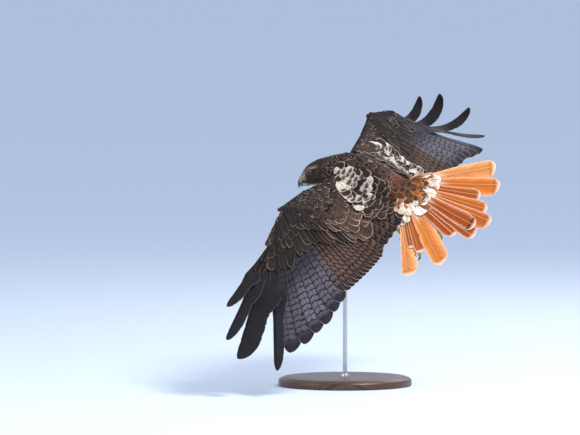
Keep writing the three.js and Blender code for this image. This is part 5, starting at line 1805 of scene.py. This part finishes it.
def wood_material():
    """Oiled walnut, turned on a lathe: growth rings 4.5 mm apart run along the disc."""
    material, node, shader = new_material("oiled_turned_walnut", roughness=0.38, ior=1.5)
    where = node("TexCoord").outputs["Object"]
    stretched = node("VectorMath", {0: where, 1: (0.08, 1.0, 1.0)}, operation="MULTIPLY")
    drift = node("TexNoise", {"Vector": stretched, "Scale": grain(45), "Detail": 3.0})
    across = node("SeparateXYZ", {0: stretched}).outputs["Y"]
    ringed = node("Math", {0: drift, 1: 0.03, 2: across}, operation="MULTIPLY_ADD")
    phase = node("Math", {0: ringed, 1: 2 * math.pi / 0.0045}, operation="MULTIPLY")
    rings = node("Math", {0: phase}, operation="SINE")
    pores = node("TexNoise", {"Vector": stretched, "Scale": grain(1.1), "Detail": 2.0})
    figure = node("Math", {0: rings, 1: 0.25, 2: pores}, operation="MULTIPLY_ADD")
    share = node("MapRange", {"Value": figure, "From Min": 0.2, "From Max": 0.8})
    mixed = node("Mix", {"Factor": share, 6: pigment("stand", "wood_dark"), 7: pigment("stand", "wood")},
                 data_type="RGBA")
    bump = node("Bump", {"Strength": 0.12, "Distance": 0.0003, "Height": pores})
    plug(shader, {"Base Color": mixed, "Normal": bump})
    return material


def steel_material():
    """Stainless steel, brushed round the rod: fine lines stretch the highlight."""
    material, node, shader = new_material("brushed_stainless_steel", metallic=1.0, roughness=0.32)
    where = node("TexCoord").outputs["Object"]
    stretched = node("VectorMath", {0: where, 1: (0.03, 0.03, 1.0)}, operation="MULTIPLY")
    lines = node("TexNoise", {"Vector": stretched, "Scale": grain(0.4), "Detail": 2.0})
    tone = node("MapRange", {"Value": lines, "To Min": 0.45, "To Max": 0.62})
    bump = node("Bump", {"Strength": 0.1, "Distance": 0.0001, "Height": lines})
    plug(shader, {"Base Color": tone, "Normal": bump})
    return material


class HAWK_OT_studio(Operator):
    """Makes the pale floor, the lamps and the camera"""
    bl_idname = "hawk.studio"
    bl_label = "Studio"

    def execute(self, context):
        values = settings("studio")
        mesh = bpy.data.meshes.new("studio_floor")
        corners = [(-400, -400, 0), (400, -400, 0), (400, 400, 0), (-400, 400, 0)]
        mesh.from_pydata(corners, [], [(0, 1, 2, 3)])
        # Floor: matt paint, even and pale.
        matt = plain_material("matt_painted_floor", values.floor[:], 0.8, 40, 0.01, 0.02)
        floor = show("studio_floor", mesh, matt)
        scene = context.scene
        scene.world = scene.world or bpy.data.worlds.new("studio")
        scene.world.use_nodes = True
        plug(scene.world.node_tree.nodes["Background"], {"Color": (*values.sky[:], 1), "Strength": 1.0})
        for name, (place, wide, kind, share) in LAMPS.items():
            lamp = bpy.data.lights.new(f"studio_{name}", "AREA")
            lamp.energy, lamp.size = getattr(values, kind) * share, wide
            self.aim(scene, lamp, Vector(place), Vector((0, 0, 0.4)))
        scene.view_settings.view_transform = "Standard"
        data = bpy.data.cameras.new("studio_camera")
        data.lens = CAMERA["sensor"] * CAMERA["away"] / CAMERA["wide"]
        data.clip_end = 1200
        tilt, target = math.radians(CAMERA["tilt"]), Vector(CAMERA["target"])
        place = target + Vector((0, -math.cos(tilt), math.sin(tilt))) * CAMERA["away"]
        scene.camera = self.aim(scene, data, place, target)
        return {"FINISHED"}

    def aim(self, scene, data, place, target):
        """Puts a lamp or camera in its place, turned towards the target."""
        holder = bpy.data.objects.new(data.name, data)
        holder.location = place
        holder.rotation_euler = (target - place).to_track_quat("-Z", "Y").to_euler()
        scene.collection.objects.link(holder)
        return holder


class HAWK_PT_panel(Panel):
    """Lists the steps and their settings"""
    bl_label = "Hawk"
    bl_idname = "HAWK_PT_panel"
    bl_space_type = "VIEW_3D"
    bl_region_type = "UI"
    bl_category = "Hawk"

    def draw(self, context):
        for group in GROUPS:
            box = self.layout.box()
            for name in GROUPS[group].__annotations__:
                box.prop(getattr(context.scene, group), name)
        for step in STEPS:
            self.layout.operator(step.bl_idname)


GROUPS = {
    "hawk_colours": HawkPlumageColours,
    "hawk_sizes": HawkPlumageSizes,
    "hawk_bare": HawkBareParts,
    "hawk_stand": HawkStandSettings,
    "hawk_studio": HawkStudioSettings,
}
STEPS = (HAWK_OT_studio, HAWK_OT_stand, HAWK_OT_skin, HAWK_OT_wings, HAWK_OT_tail, HAWK_OT_scapulars,
         HAWK_OT_contour, HAWK_OT_face, HAWK_OT_bill, HAWK_OT_feet)
CLASSES = (*GROUPS.values(), *STEPS, HAWK_PT_panel)


def register():
    for made in CLASSES:
        bpy.utils.register_class(made)
    for name, group in GROUPS.items():
        setattr(bpy.types.Scene, name, PointerProperty(type=group))


def unregister():
    for name in GROUPS:
        delattr(bpy.types.Scene, name)
    for made in reversed(CLASSES):
        bpy.utils.unregister_class(made)


def main():
    register()
    for step in STEPS:
        family, name = step.bl_idname.split(".")
        getattr(getattr(bpy.ops, family), name)()


if __name__ == "__main__":
    main()
